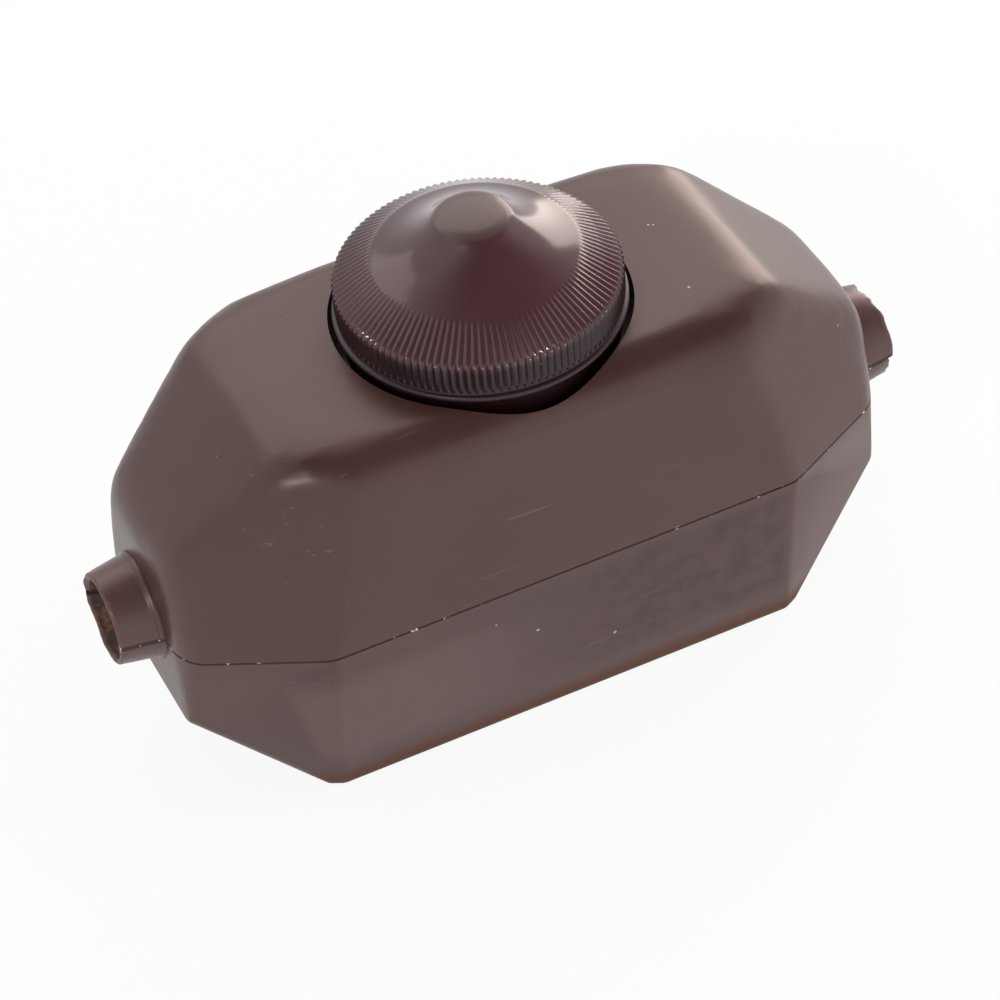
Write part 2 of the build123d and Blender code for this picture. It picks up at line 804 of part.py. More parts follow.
switch_leads = upright_wires(switch_tags, board_top, switch_bottom - switch_tag_length)
finish(switch_leads, "switch_leads")

# Circuit board
with BuildPart() as circuit_board:
    with BuildSketch(Plane.XY.offset(board_bottom)):
        Rectangle(2 * board_middle_half_length, 2 * board_half_width)
        Rectangle(2 * board_half_length, 2 * board_ear_half_width)
    extrude(amount=board_thickness)
    with BuildSketch(Plane.XY.offset(board_bottom)):
        with GridLocations(2 * board_post_x, 2 * board_post_y, 2, 2):
            Circle(board_screw_radius + sleeve_clearance)
    extrude(amount=board_thickness, mode=Mode.SUBTRACT)
finish(circuit_board.part, "circuit_board")

with BuildPart() as board_screws:
    for side in (-1, 1):
        corner = (side * board_post_x, -board_post_y, board_top)
        place = Plane(origin=corner, x_dir=(1, 0, 0), z_dir=(0, 0, -1))
        head = (board_screw_head_radius, board_screw_head_height)
        add(slotted_screw(place, board_screw_length, board_screw_radius, *head))
finish(board_screws.part, "board_screws")

# Choke: ferrite ring lying on the board, wound with flat turns
core_bottom = board_top + choke_wire + choke_gap
with BuildPart() as choke_core:
    with BuildSketch(Plane(origin=(choke_x, choke_y, core_bottom))):
        Circle(choke_outer_radius)
        Circle(choke_inner_radius, mode=Mode.SUBTRACT)
    extrude(amount=choke_height)
finish(choke_core.part, "choke_core")

turn_inner_length = choke_outer_radius - choke_inner_radius + 2 * choke_gap
turn_inner_height = choke_height + 2 * choke_gap
with BuildPart() as choke_winding:
    for turn in range(choke_turns):
        angle = (360 - choke_wound_angle) / 2 + turn * choke_wound_angle / (choke_turns - 1)
        centre = Location((choke_x, choke_y, core_bottom + choke_height / 2), (0, 0, angle))
        middle = centre * Location(((choke_outer_radius + choke_inner_radius) / 2, 0, 0))
        across = Plane(origin=middle.position, x_dir=Plane(middle).x_dir, z_dir=Plane(middle).y_dir)
        with BuildSketch(across):
            Rectangle(turn_inner_length + 2 * choke_wire, turn_inner_height + 2 * choke_wire)
            Rectangle(turn_inner_length, turn_inner_height, mode=Mode.SUBTRACT)
        extrude(amount=choke_wire / 2, both=True)
finish(choke_winding.part, "choke_winding")


def boxed_part(x, y, length, width, height):
    """Dipped capacitor standing on the board, its upper edges rounded."""
    with BuildPart() as piece:
        with BuildSketch(Plane(origin=(x, y, board_top))):
            RectangleRounded(length, width, capacitor_edge_radius)
        extrude(amount=height)
        fillet(piece.faces().sort_by(Axis.Z)[-1].edges(), capacitor_edge_radius / 2)
    return piece.part


finish(boxed_part(filter_x, filter_y, filter_length, filter_width, filter_height), "filter_capacitor")
finish(boxed_part(timing_x, timing_y, timing_length, timing_width, timing_height), "timing_capacitor")


def axial_part(y, length, radius):
    """Small part on two bent leads, lying along X just above the board."""
    height = board_top + axial_lead_radius + radius
    with BuildPart() as piece:
        with BuildSketch(Plane(origin=(axial_x, y, height), z_dir=(1, 0, 0))):
            Circle(radius)
        extrude(amount=length / 2, both=True)
        fillet(piece.edges().filter_by(GeomType.CIRCLE), radius / 3)
        with BuildSketch(Plane(origin=(axial_x, y, height), z_dir=(1, 0, 0))):
            Circle(axial_lead_radius)
        extrude(amount=axial_pitch / 2, both=True)
        with BuildSketch(Plane.XY.offset(board_top)):
            with Locations((axial_x - axial_pitch / 2, y), (axial_x + axial_pitch / 2, y)):
                Circle(axial_lead_radius)
        extrude(amount=height - board_top)
    return piece.part


with BuildPart() as resistors:
    for row in resistor_rows:
        add(axial_part(row, resistor_length, resistor_radius))
finish(resistors.part, "resistors")
finish(axial_part(diac_row, diac_length, diac_radius), "diac")

# Fuse: glass tube, two caps and the clips that hold them
fuse_height = board_top + fuse_rise + fuse_radius
fuse_axis = Plane(origin=(fuse_x, fuse_y, fuse_height), x_dir=(0, 1, 0), z_dir=(1, 0, 0))
glass_radius = fuse_radius - fuse_cap_wall
glass_half_length = fuse_length / 2 - fuse_cap_end
cap_middle = (fuse_length - fuse_cap_length) / 2
with BuildPart() as fuse_glass:
    with BuildSketch(fuse_axis):
        Circle(glass_radius)
        Circle(glass_radius - fuse_glass_wall, mode=Mode.SUBTRACT)
    extrude(amount=glass_half_length, both=True)
finish(fuse_glass.part, "fuse_glass")

with BuildPart() as fuse_caps:
    for start in (-fuse_length / 2, fuse_length / 2 - fuse_cap_length):
        with BuildSketch(fuse_axis.offset(start)):
            Circle(fuse_radius)
        extrude(amount=fuse_cap_length)
    with BuildSketch(fuse_axis):
        Circle(glass_radius)
    extrude(amount=glass_half_length, both=True, mode=Mode.SUBTRACT)
finish(fuse_caps.part, "fuse_caps")

with BuildPart() as fuse_clips:
    clip_radius = fuse_radius + fuse_clip_wall
    clip_width = fuse_cap_length - 1
    for side in (-1, 1):
        with BuildSketch(fuse_axis.offset(side * cap_middle - clip_width / 2)):
            Circle(clip_radius)
            with Locations((0, -(fuse_radius + fuse_rise) / 2)):
                Rectangle(2 * fuse_rise, fuse_radius + fuse_rise)
            Circle(fuse_radius, mode=Mode.SUBTRACT)
            with Locations((0, clip_radius)):
                Rectangle(fuse_radius, 2 * fuse_radius, mode=Mode.SUBTRACT)
        extrude(amount=clip_width)
finish(fuse_clips.part, "fuse_clips")

# Triac on its folded heat sink
body_bottom = board_top + triac_leg_length
body_top = body_bottom + triac_body
bolt_height = body_top + sink_bolt_above_body
with BuildPart() as triac:
    with BuildSketch(Plane.XY.offset(body_bottom)):
        with Locations((triac_x, sink_front - triac_thickness / 2)):
            Rectangle(triac_width, triac_thickness)
    extrude(amount=triac_body)
    with BuildSketch(Plane.XY.offset(body_bottom)):
        with Locations((triac_x, sink_front - triac_tab_thickness / 2)):
            Rectangle(triac_width, triac_tab_thickness)
    extrude(amount=triac_body + triac_tab_height)
    with BuildSketch(Plane.XY.offset(board_top)):
        with Locations((triac_x, sink_front - triac_thickness / 2)):
            with GridLocations(triac_leg_spacing, 1, 3, 1):
                Rectangle(triac_leg_width, triac_leg_width / 2)
    extrude(amount=triac_leg_length)
    with BuildSketch(Plane(origin=(triac_x, sink_front, bolt_height), z_dir=(0, -1, 0))):
        Circle(sink_screw_radius + sleeve_clearance)
    extrude(amount=triac_tab_thickness, mode=Mode.SUBTRACT)
finish(triac.part, "triac")

with BuildPart() as heat_sink:
    with BuildSketch(Plane.XY.offset(board_top)):
        with Locations((triac_x, sink_front + sink_thickness / 2)):
            Rectangle(sink_width, sink_thickness)
        for side in (-1, 1):
            wing_x = triac_x + side * (sink_width - sink_thickness) / 2
            with Locations((wing_x, sink_front - sink_wing / 2)):
                Rectangle(sink_thickness, sink_wing)
    extrude(amount=sink_height)
    with BuildSketch(Plane(origin=(triac_x, sink_front, bolt_height), z_dir=(0, 1, 0))):
        Circle(sink_screw_radius + sleeve_clearance)
    extrude(amount=sink_thickness, mode=Mode.SUBTRACT)
finish(heat_sink.part, "heat_sink")

sink_bolt_length = triac_tab_thickness + sink_thickness + sink_nut_thickness
sink_bolt_base = Plane(
    origin=(triac_x, sink_front - triac_tab_thickness, bolt_height), x_dir=(1, 0, 0), z_dir=(0, 1, 0)
)
sink_head = (sink_screw_head_radius, screw_head_height)
finish(slotted_screw(sink_bolt_base, sink_bolt_length, sink_screw_radius, *sink_head), "sink_screw")

with BuildPart() as sink_nut:
    with BuildSketch(sink_bolt_base.offset(triac_tab_thickness + sink_thickness)):
        RegularPolygon(sink_nut_flats / 2, 6, major_radius=False)
        Circle(sink_screw_radius + shaft_fit, mode=Mode.SUBTRACT)
    extrude(amount=sink_nut_thickness)
finish(sink_nut.part, "sink_nut")


def terminal_block(side):
    """Two-pole screw terminal whose mouths face the cord's inlet."""
    x = side * terminal_x
    poles = [(x, pole * terminal_pole_spacing / 2) for pole in (-1, 1)]
    with BuildPart() as block:
        with BuildSketch(Plane.XY.offset(board_top)):
            with Locations((x, 0)):
                Rectangle(terminal_width, 2 * terminal_half_length)
        extrude(amount=terminal_height)
        chamfer(block.faces().sort_by(Axis.Z)[-1].edges().filter_by(Axis.Y), terminal_chamfer)
        with BuildSketch(Plane.XY.offset(board_top + terminal_mouth_height)):
            with Locations(*poles):
                Circle(terminal_screw_radius + shaft_fit)
        extrude(amount=terminal_height, mode=Mode.SUBTRACT)
        mouth_plane = Plane(
            origin=(x + side * terminal_width / 2, 0, board_top + terminal_mouth_height),
            x_dir=(0, 1, 0),
            z_dir=(-side, 0, 0),
        )
        with BuildSketch(mouth_plane):
            with GridLocations(terminal_pole_spacing, 1, 2, 1):
                Circle(terminal_mouth_radius)
        extrude(amount=terminal_width - 1, mode=Mode.SUBTRACT)
    return block.part


finish(terminal_block(-1), "input_terminal")
finish(terminal_block(1), "output_terminal")

with BuildPart() as terminal_screws:
    top = board_top + terminal_height - terminal_screw_sink
    for place in level_places(terminal_x, terminal_pole_spacing / 2, top, -1):
        with BuildSketch(place):
            Circle(terminal_screw_radius)
        extrude(amount=terminal_screw_length)
        with BuildSketch(place):
            Rectangle(2 * terminal_screw_radius, terminal_slot_width)
        extrude(amount=terminal_slot_depth, mode=Mode.SUBTRACT)
finish(terminal_screws.part, "terminal_screws")


def cord_clamp(side):
    """Saddle that holds the cord just inside its inlet, screwed down on two posts."""
    with BuildPart() as clamp:
        across = Plane(origin=(side * clamp_x, 0, 0), x_dir=(0, 1, 0), z_dir=(1, 0, 0))
        with BuildSketch(across):
            with Locations((0, clamp_seat + clamp_foot_thickness / 2)):
                Rectangle(2 * clamp_half_length, clamp_foot_thickness)
            with Locations((0, (clamp_seat + seam_height) / 2)):
                Rectangle(2 * (clamp_arch_radius + clamp_wall), clamp_seat_drop)
            with Locations((0, seam_height)):
                Circle(clamp_arch_radius + clamp_wall)
                Circle(clamp_arch_radius, mode=Mode.SUBTRACT)
            with Locations((0, seam_height - 2 * clamp_arch_radius)):
                Rectangle(2 * clamp_arch_radius, 4 * clamp_arch_radius, mode=Mode.SUBTRACT)
        extrude(amount=clamp_width / 2, both=True)
        split(bisect_by=Plane.XY.offset(clamp_seat), keep=Keep.TOP)
        with BuildSketch(Plane.XY.offset(clamp_seat)):
            with GridLocations(2 * clamp_x, 2 * clamp_screw_y, 2, 2):
                Circle(clamp_screw_radius + sleeve_clearance)
        extrude(amount=clamp_foot_thickness, mode=Mode.SUBTRACT)
    return clamp.part


finish(cord_clamp(-1), "input_cord_clamp")
finish(cord_clamp(1), "output_cord_clamp")

with BuildPart() as clamp_screws:
    for place in level_places(clamp_x, clamp_screw_y, clamp_seat + clamp_foot_thickness, -1):
        head = (clamp_screw_head_radius, clamp_screw_head_height)
        add(slotted_screw(place, clamp_screw_length, clamp_screw_radius, *head))
finish(clamp_screws.part, "clamp_screws")
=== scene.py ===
"""Looks of the rotary lamp dimmer: moulded shells with torn cord stubs, ribbed knob, works inside."""

import bmesh
import bpy
import math
from mathutils import Matrix, Vector, noise
from mathutils.bvhtree import BVHTree


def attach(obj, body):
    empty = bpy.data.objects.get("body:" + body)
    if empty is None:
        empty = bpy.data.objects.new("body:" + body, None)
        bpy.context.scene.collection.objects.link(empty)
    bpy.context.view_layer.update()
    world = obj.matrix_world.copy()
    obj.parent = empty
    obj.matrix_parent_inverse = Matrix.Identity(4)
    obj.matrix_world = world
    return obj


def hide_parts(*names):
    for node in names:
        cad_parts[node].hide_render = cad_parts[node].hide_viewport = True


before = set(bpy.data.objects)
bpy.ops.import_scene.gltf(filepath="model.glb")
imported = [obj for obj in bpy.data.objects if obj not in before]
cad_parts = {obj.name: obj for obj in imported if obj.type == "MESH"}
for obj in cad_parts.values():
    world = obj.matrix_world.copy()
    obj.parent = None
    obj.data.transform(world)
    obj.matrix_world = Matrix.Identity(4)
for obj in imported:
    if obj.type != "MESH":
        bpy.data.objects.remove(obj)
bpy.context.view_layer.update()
MM = 0.001

# Places on the CAD model, in millimetres. The knob's lip reaches 0.7 mm lower here than there.
SEAM = 24.0
STUB_ROOT = 45.0
STUB_MOUTH = 50.2
BORE_RADIUS = 4.0
KNOB_LIP = 50.2
KNOB_RIM = 55.1
KNOB_TOP = 63.8
AXIAL_MIDDLE = 11.6

# The knob's ribs
KNOB_RIBS = 116
RIB_COLUMNS = 8
RIB_DEPTH = 0.34

# How deep each stub's mouth is broken away
LEFT_LOSS = 0.14
RIGHT_LOSS = 0.75

# The upper shell's skin: cell of its mesh, turns of rounding, and radii round the knob's axis, out to
# the first of which the skin stays as it is, and from the second of which it is free
SKIN_CELL = 1.3
SKIN_TURNS = 28
SKIN_HELD = 21.0
SKIN_FREE = 28.0


# Node maths


class Wire:
    """A node socket that ordinary arithmetic can be done on."""

    def __init__(self, sheet, socket):
        self.sheet = sheet
        self.socket = socket

    def maths(self, operation, *values):
        return self.sheet.node("ShaderNodeMath", {"operation": operation}, dict(enumerate(values)))

    def __add__(self, other):
        return self.maths("ADD", self, other)

    def __radd__(self, other):
        return self.maths("ADD", other, self)

    def __sub__(self, other):
        return self.maths("SUBTRACT", self, other)

    def __rsub__(self, other):
        return self.maths("SUBTRACT", other, self)

    def __mul__(self, other):
        return self.maths("MULTIPLY", self, other)

    def __truediv__(self, other):
        return self.maths("DIVIDE", self, other)

    def __pow__(self, other):
        return self.maths("POWER", self, other)

    def __mod__(self, other):
        return self.maths("FLOORED_MODULO", self, other)

    def __abs__(self):
        return self.maths("ABSOLUTE", self)

    def whole(self):
        return self.maths("FLOOR", self)

    def least(self, other):
        return self.maths("MINIMUM", self, other)

    def most(self, other):
        return self.maths("MAXIMUM", self, other)


class Sheet:
    """A node tree being wired: node() adds any node, and gives its output as a Wire."""

    def __init__(self, tree):
        self.tree = tree

    def node(self, kind, settings=None, values=None, output=0):
        made = self.tree.nodes.new(kind)
        for name, setting in (settings or {}).items():
            if name == "stops":
                ramp = made.color_ramp
                while len(ramp.elements) < len(setting):
                    ramp.elements.new(0.5)
                for element, (place, colour) in zip(ramp.elements, setting):
                    element.position = place
                    element.color = colour
            else:
                setattr(made, name, setting)
        for name, value in (values or {}).items():
            if isinstance(value, Wire):
                self.tree.links.new(value.socket, made.inputs[name])
            else:
                made.inputs[name].default_value = value
        return Wire(self, made.outputs[output]) if made.outputs else None

    def parts(self, vector):
        """X, Y and Z of a vector as three wires."""
        split = self.node("ShaderNodeSeparateXYZ", {}, {0: vector})
        return [Wire(self, socket) for socket in split.socket.node.outputs]

    def step(self, value, low, high):
        """0 below low, 1 above high, smooth between."""
        settings = {"interpolation_type": "SMOOTHSTEP"}
        return self.node("ShaderNodeMapRange", settings, {"Value": value, "From Min": low, "From Max": high})

    def mix(self, amount, first, second):
        """Colour between first and second."""
        settings = {"data_type": "RGBA"}
        return self.node("ShaderNodeMix", settings, {0: amount, 6: first, 7: second}, output=2)

    def cloud(self, place, scale, detail=3.0, roughness=0.5):
        """Soft noise between 0 and 1."""
        values = {"Vector": place, "Scale": scale, "Detail": detail, "Roughness": roughness}
        return self.node("ShaderNodeTexNoise", {}, values)

    def bump(self, height, strength, distance):
        return self.node(
            "ShaderNodeBump", {}, {"Height": height, "Strength": strength, "Distance": distance}
        )


def new_finish(name):
    """An empty material: its Sheet, a wire with the piece's own place in metres, and its shader."""
    material = bpy.data.materials.new(name)
    material.use_nodes = True
    material.node_tree.nodes.clear()
    sheet = Sheet(material.node_tree)
    place = sheet.node("ShaderNodeTexCoord", {}, {}, output="Object")
    shader = sheet.node("ShaderNodeBsdfPrincipled")
    sheet.node("ShaderNodeOutputMaterial", {}, {"Surface": shader})
    return material, sheet, place, shader.socket.node


def feed(sheet, shader, **sockets):
    """Sets or links the shader's sockets, with spaces in their names written as underscores."""
    for name, value in sockets.items():
        socket = shader.inputs[name.replace("_", " ")]
        if isinstance(value, Wire):
            sheet.tree.links.new(value.socket, socket)
        else:
            socket.default_value = value


def dust(sheet, place, scale, share, size):
    """Sparse specks: 1 on a speck. Only a share of the cells holds one."""
    values = {"Vector": place, "Scale": scale}
    distance = sheet.node("ShaderNodeTexVoronoi", {"feature": "F1"}, values, output="Distance")
    colour = sheet.node("ShaderNodeTexVoronoi", {"feature": "F1"}, values, output="Color")
    pick = sheet.parts(colour)[0]
    return sheet.step(pick, 1 - share, 1 - share + 0.01) * (1 - sheet.step(distance, size * 0.5, size))


def scratches(sheet, place, turn, scale, share):
    """Fine straight rub marks: 1 on a mark. They run along one direction, in patches."""
    turned = sheet.node(
        "ShaderNodeMapping", {}, {"Vector": place, "Rotation": turn, "Scale": (scale * 0.04, scale, scale)}
    )
    lines = sheet.cloud(turned, 1.0, 2.0, 0.6)
    patch = sheet.cloud(place, 60.0, 1.0)
    return sheet.step(lines, 0.72 - share, 0.74 - share) * sheet.step(patch, 0.5, 0.62)


def spot(sheet, place, centre, radius):
    """1 within radius of a place given in millimetres, soft at its edge."""
    where = tuple(value * MM for value in centre)
    distance = sheet.node(
        "ShaderNodeVectorMath", {"operation": "DISTANCE"}, {0: place, 1: where}, output="Value"
    )
    return 1 - sheet.step(distance, radius * 0.6 * MM, radius * MM)


def photo_marks(sheet, place):
    """The photograph's own flecks of dust: 1 on a fleck."""
    flecks = [
        (22.8, 2.8, 50.0, 0.17),
        (23.3, 2.5, 50.0, 0.15),
        (21.8, -9.3, 50.0, 0.2),
        (28.2, 6.5, 50.0, 0.15),
        (-4.04, -18.19, 15.36, 0.24),
        (5.97, -17.49, 9.36, 0.26),
    ]
    marks = 0.0
    for x, y, z, radius in flecks:
        marks = marks + spot(sheet, place, (x, y, z), radius)
    return marks.least(1.0)


def stub_wear_and_shade(sheet, place, body):
    """Body colour with painted shade in the bore, its orange-brown residue and the painted shadow line at
    the stub's root.
    """
    along, across, up = sheet.parts(place)
    rise = up - SEAM * MM
    radial = (across * across + rise * rise) ** 0.5
    reach = abs(along)
    body = sheet.mix(sheet.step(reach, STUB_ROOT * MM, (STUB_ROOT + 0.5) * MM) * 0.4, body, BODY_PALE)
    crumbs = sheet.cloud(place, 1500.0, 4.0, 0.6)
    patches = sheet.cloud(place, 420.0, 2.0)
    bore = (1 - sheet.step(radial, 4.8 * MM, 5.0 * MM)) * sheet.step(reach, 40.0 * MM, 41.0 * MM)
    # Painted shade: the bore is darkened, mottled, well below the body colour; the orange-brown residue over
    # it is real
    bore_shade_and_residue = sheet.mix(crumbs, (0.012, 0.007, 0.006, 1), (0.03, 0.015, 0.01, 1))
    residue = sheet.step(patches - rise * 30.0 + across * 12.0, 0.52, 0.6) * sheet.step(crumbs, 0.4, 0.6)
    residue = residue * sheet.step(reach, 47.0 * MM, 48.6 * MM)
    bore_shade_and_residue = sheet.mix(residue * 0.8, bore_shade_and_residue, (0.17, 0.045, 0.014, 1))
    ragged = reach + (crumbs - 0.5) * (2.2 * MM)
    broken = sheet.step(ragged, (STUB_MOUTH - 0.35) * MM, (STUB_MOUTH + 0.1) * MM)
    body = sheet.mix(broken * 0.55, body, (0.15, 0.06, 0.03, 1))
    body = sheet.mix(bore, body, bore_shade_and_residue)
    root = 1 - sheet.step(abs(reach - (STUB_ROOT + 0.62) * MM), 0.05 * MM, 0.2 * MM)
    body = sheet.mix(root * 0.7, body, (0.02, 0.01, 0.009, 1))
    return body, bore.most(broken)


def seam_line(sheet, place, body):
    """Body colour with the red-brown line of the seam and the pale dust caught in it."""
    along, across, up = sheet.parts(place)
    at_stub = sheet.step(abs(along), STUB_ROOT * MM, (STUB_ROOT + 0.3) * MM)
    off = abs(up - SEAM * MM) / (1 + at_stub * 1.3)
    line = 1 - sheet.step(off, 0.12 * MM, 0.24 * MM)
    wide = 1 - sheet.step(off, 0.15 * MM, 0.9 * MM)
    body = sheet.mix(wide * 0.2, body, (0.07, 0.028, 0.018, 1))
    body = sheet.mix(line, body, (0.03, 0.008, 0.005, 1))
    patch = sheet.step(sheet.cloud(place, 90.0, 1.0), 0.48, 0.54)
    caught = sheet.step(sheet.cloud(place, 800.0, 2.0, 0.7), 0.6, 0.66) * patch
    return sheet.mix(line * caught * 0.9, body, (0.75, 0.7, 0.66, 1)), line


def shell_plastic(name, polish):
    """Dark chocolate moulded plastic, satin, with dust, rub marks, the seam, the worn stub mouths with
    painted shade in their bores, and a painted warm glow along the foot.
    """
    material, sheet, place, shader = new_finish(name)
    along, across, up = sheet.parts(place)
    tone = sheet.cloud(place, 38.0, 4.0, 0.55)
    grain = sheet.cloud(place, 900.0, 2.0, 0.5)
    body = sheet.mix(sheet.step(tone, 0.3, 0.7), BODY_DARK, BODY_LIGHT)
    # Rubbed, mottled patch on the lower front, paler at its left end
    mottle = sheet.cloud(place, 330.0, 5.0, 0.7)
    below = (1 - sheet.step(up, 21.5 * MM, 24.0 * MM)) * sheet.step(up, 3.0 * MM, 8.0 * MM)
    front = 1 - sheet.step(across, -16.5 * MM, -15.5 * MM)
    side = sheet.step(along, -12.0 * MM, 14.0 * MM) * (1 - sheet.step(along, 28.0 * MM, 29.0 * MM))
    rubbed = below * front * (0.3 + side * 0.7)
    body = sheet.mix(rubbed * (0.3 + sheet.step(mottle, 0.35, 0.65) * 0.65), body, BODY_RUBBED)
    left = 1 - sheet.step(along, -20.0 * MM, 2.0 * MM)
    pale = below * front * left * (1 - sheet.step(up, 16.0 * MM, 22.0 * MM))
    body = sheet.mix(pale * (0.35 + mottle * 0.4), body, BODY_PALE)
    # Painted warm glow along the foot: orange light painted on the bottom edge
    foot_glow = 1 - sheet.step(up + (mottle - 0.5) * (1.2 * MM), 1.4 * MM, 4.4 * MM)
    body = sheet.mix(foot_glow * 0.95, body, FOOT_GLOW)
    # Fine scratches: a few all over, more on the right shoulder
    worn = spot(sheet, place, (27.0, -12.0, 48.0), 9.0).most(spot(sheet, place, (20.0, -14.0, 48.0), 6.0))
    marks = scratches(sheet, place, (0.3, 0.2, 0.9), 1500.0, 0.01)
    marks = marks.most(scratches(sheet, place, (0.1, 0.5, -0.7), 1300.0, 0.01)) * 0.4
    marks = marks.most(scratches(sheet, place, (0.0, 0.0, 0.35), 900.0, 0.08) * worn)
    body = sheet.mix(marks * 0.4, body, (0.3, 0.26, 0.24, 1))
    specks = dust(sheet, place, 430.0, 0.03, 0.07).most(photo_marks(sheet, place))
    body = sheet.mix(specks * 0.75, body, (0.6, 0.55, 0.5, 1))
    body, worn_mouth = stub_wear_and_shade(sheet, place, body)
    body, seam = seam_line(sheet, place, body)
    dull = rubbed * mottle * 0.15 + (worn_mouth + foot_glow + seam) * 0.3
    feed(
        sheet,
        shader,
        Base_Color=body,
        Roughness=polish + tone * 0.08 + marks * 0.12 + dull,
        Normal=sheet.bump(grain * 0.3 + tone * 0.5 + specks * 0.8 + marks * 0.3, 0.3, 0.0001),
        Specular_IOR_Level=0.68,
        Specular_Tint=(1.0, 0.86, 0.85, 1),
    )
    return material


def knob_plastic():
    """Wine-brown plastic with a hard gloss, fine dust in its ribs, hair scratches, a rubbed tip, painted
    shade on its ribbed band and below its lip, and painted glints along the rim's edge.
    """
    material, sheet, place, shader = new_finish("knob_plastic")
    tone = sheet.cloud(place, 120.0, 3.0)
    body = sheet.mix(tone, KNOB_DARK, KNOB_LIGHT)
    along, across, up = sheet.parts(place)
    tip = sheet.step(up, (KNOB_TOP - 0.95) * MM, (KNOB_TOP - 0.45) * MM)
    body = sheet.mix(tip * 0.7, body, KNOB_TIP)
    # Painted shade: the ribbed band under the rim and the skirt below the lip are darkened in the base
    # colour
    band = 1 - sheet.step(up, (KNOB_RIM - 1.2) * MM, (KNOB_RIM + 0.1) * MM)
    below_lip = 1 - sheet.step(up, (KNOB_LIP - 0.1) * MM, KNOB_LIP * MM)
    body = sheet.mix((below_lip * 0.95).most(band * 0.9), body, KNOB_PAINTED_SHADE)
    marks = scratches(sheet, place, (0.2, 0.1, 0.5), 1900.0, 0.02)
    specks = dust(sheet, place, 520.0, 0.05, 0.09)
    ribbed = 1 - sheet.step(up, 55.0 * MM, 57.5 * MM)
    body = sheet.mix(specks * (0.3 + ribbed * 0.5), body, (0.6, 0.52, 0.5, 1))
    # Painted glints: pale dots along the rim's outer edge, where the rib ends would catch the light
    radial = (across * across + along * along) ** 0.5
    edge = 1 - sheet.step(abs(up - KNOB_RIM * MM), 0.12 * MM, 0.3 * MM)
    edge = edge * sheet.step(radial, 16.42 * MM, 16.5 * MM)
    glint_spots = sheet.step(sheet.cloud(place, 420.0, 2.0), 0.5, 0.62)
    body = sheet.mix(edge * glint_spots * 0.6, body, (0.6, 0.5, 0.5, 1))
    feed(
        sheet,
        shader,
        Base_Color=body,
        Roughness=0.15 + tone * 0.05 + marks * 0.12 + specks * 0.3 + tip * 0.2 + band * 0.2,
        Normal=sheet.bump(tone * 0.6 + marks * 0.2 + specks, 0.2, 0.00008),
        Coat_Weight=(1 - band) * 0.2,
        Coat_Roughness=0.1,
        Specular_IOR_Level=0.5,
    )
    return material


def plain_plastic(name, dark, light, rough, scale):
    """Moulded or coated stuff with a mottled tone and a faint grain."""
    material, sheet, place, shader = new_finish(name)
    tone = sheet.cloud(place, scale, 4.0, 0.6)
    grain = sheet.cloud(place, scale * 9, 2.0)
    feed(
        sheet,
        shader,
        Base_Color=sheet.mix(tone, (*dark, 1), (*light, 1)),
        Roughness=rough + grain * 0.12,
        Normal=sheet.bump(grain + tone, 0.2, 0.0001),
    )
    return material


def worked_metal(name, dark, light, rough, stretch):
    """Metal with drawn or brushed lines, long along one axis, and a slight tarnish."""
    material, sheet, place, shader = new_finish(name)
    lines = sheet.node("ShaderNodeMapping", {}, {"Vector": place, "Scale": stretch})
    brushed = sheet.cloud(lines, 1500.0, 2.0)
    tarnish = sheet.cloud(place, 220.0, 4.0, 0.6)
    feed(
        sheet,
        shader,
        Base_Color=sheet.mix(tarnish, (*dark, 1), (*light, 1)),
        Metallic=1.0,
        Roughness=rough + brushed * 0.12 + tarnish * 0.12,
        Normal=sheet.bump(brushed, 0.15, 0.00005),
    )
    return material


def board_paper():
    """Tan resin-bonded paper, with fibres that run along the board."""
    material, sheet, place, shader = new_finish("board_paper")
    fibres = sheet.node("ShaderNodeMapping", {}, {"Vector": place, "Scale": (0.12, 1.0, 1.0)})
    weave = sheet.cloud(fibres, 2200.0, 3.0)
    tone = sheet.cloud(place, 90.0, 3.0)
    feed(
        sheet,
        shader,
        Base_Color=sheet.mix(weave * 0.6 + tone * 0.4, (0.26, 0.15, 0.06, 1), (0.46, 0.31, 0.15, 1)),
        Roughness=0.45 + weave * 0.15,
        Normal=sheet.bump(weave, 0.2, 0.00005),
    )
    return material


def fuse_tube():
    """Clear glass with a little dust on it."""
    material, sheet, place, shader = new_finish("fuse_tube_glass")
    film = sheet.cloud(place, 400.0, 3.0)
    feed(
        sheet,
        shader,
        Base_Color=sheet.mix(film, (0.86, 0.9, 0.9, 1), (0.95, 0.97, 0.96, 1)),
        Roughness=0.04 + film * 0.06,
        Transmission_Weight=0.9,
        IOR=1.5,
    )
    return material


def banded(name, base, bands, half_length):
    """Lacquered axial part with painted rings along X and bare wires beyond half_length."""
    material, sheet, place, shader = new_finish(name)
    along, across, up = sheet.parts(place)
    body = sheet.mix(sheet.cloud(place, 300.0), (*base, 1), tuple(c * 1.15 for c in base) + (1,))
    for start, end, colour in bands:
        ring = sheet.step(along, start * MM, (start + 0.08) * MM)
        ring = ring * (1 - sheet.step(along, end * MM, (end + 0.08) * MM))
        body = sheet.mix(ring, body, (*colour, 1))
    ends = sheet.step(abs(along - AXIAL_MIDDLE * MM), half_length * MM, (half_length + 0.1) * MM)
    feed(
        sheet,
        shader,
        Base_Color=sheet.mix(ends, body, (0.6, 0.6, 0.58, 1)),
        Metallic=ends,
        Roughness=0.35 + sheet.cloud(place, 800.0) * 0.1,
    )
    return material


# Finishes


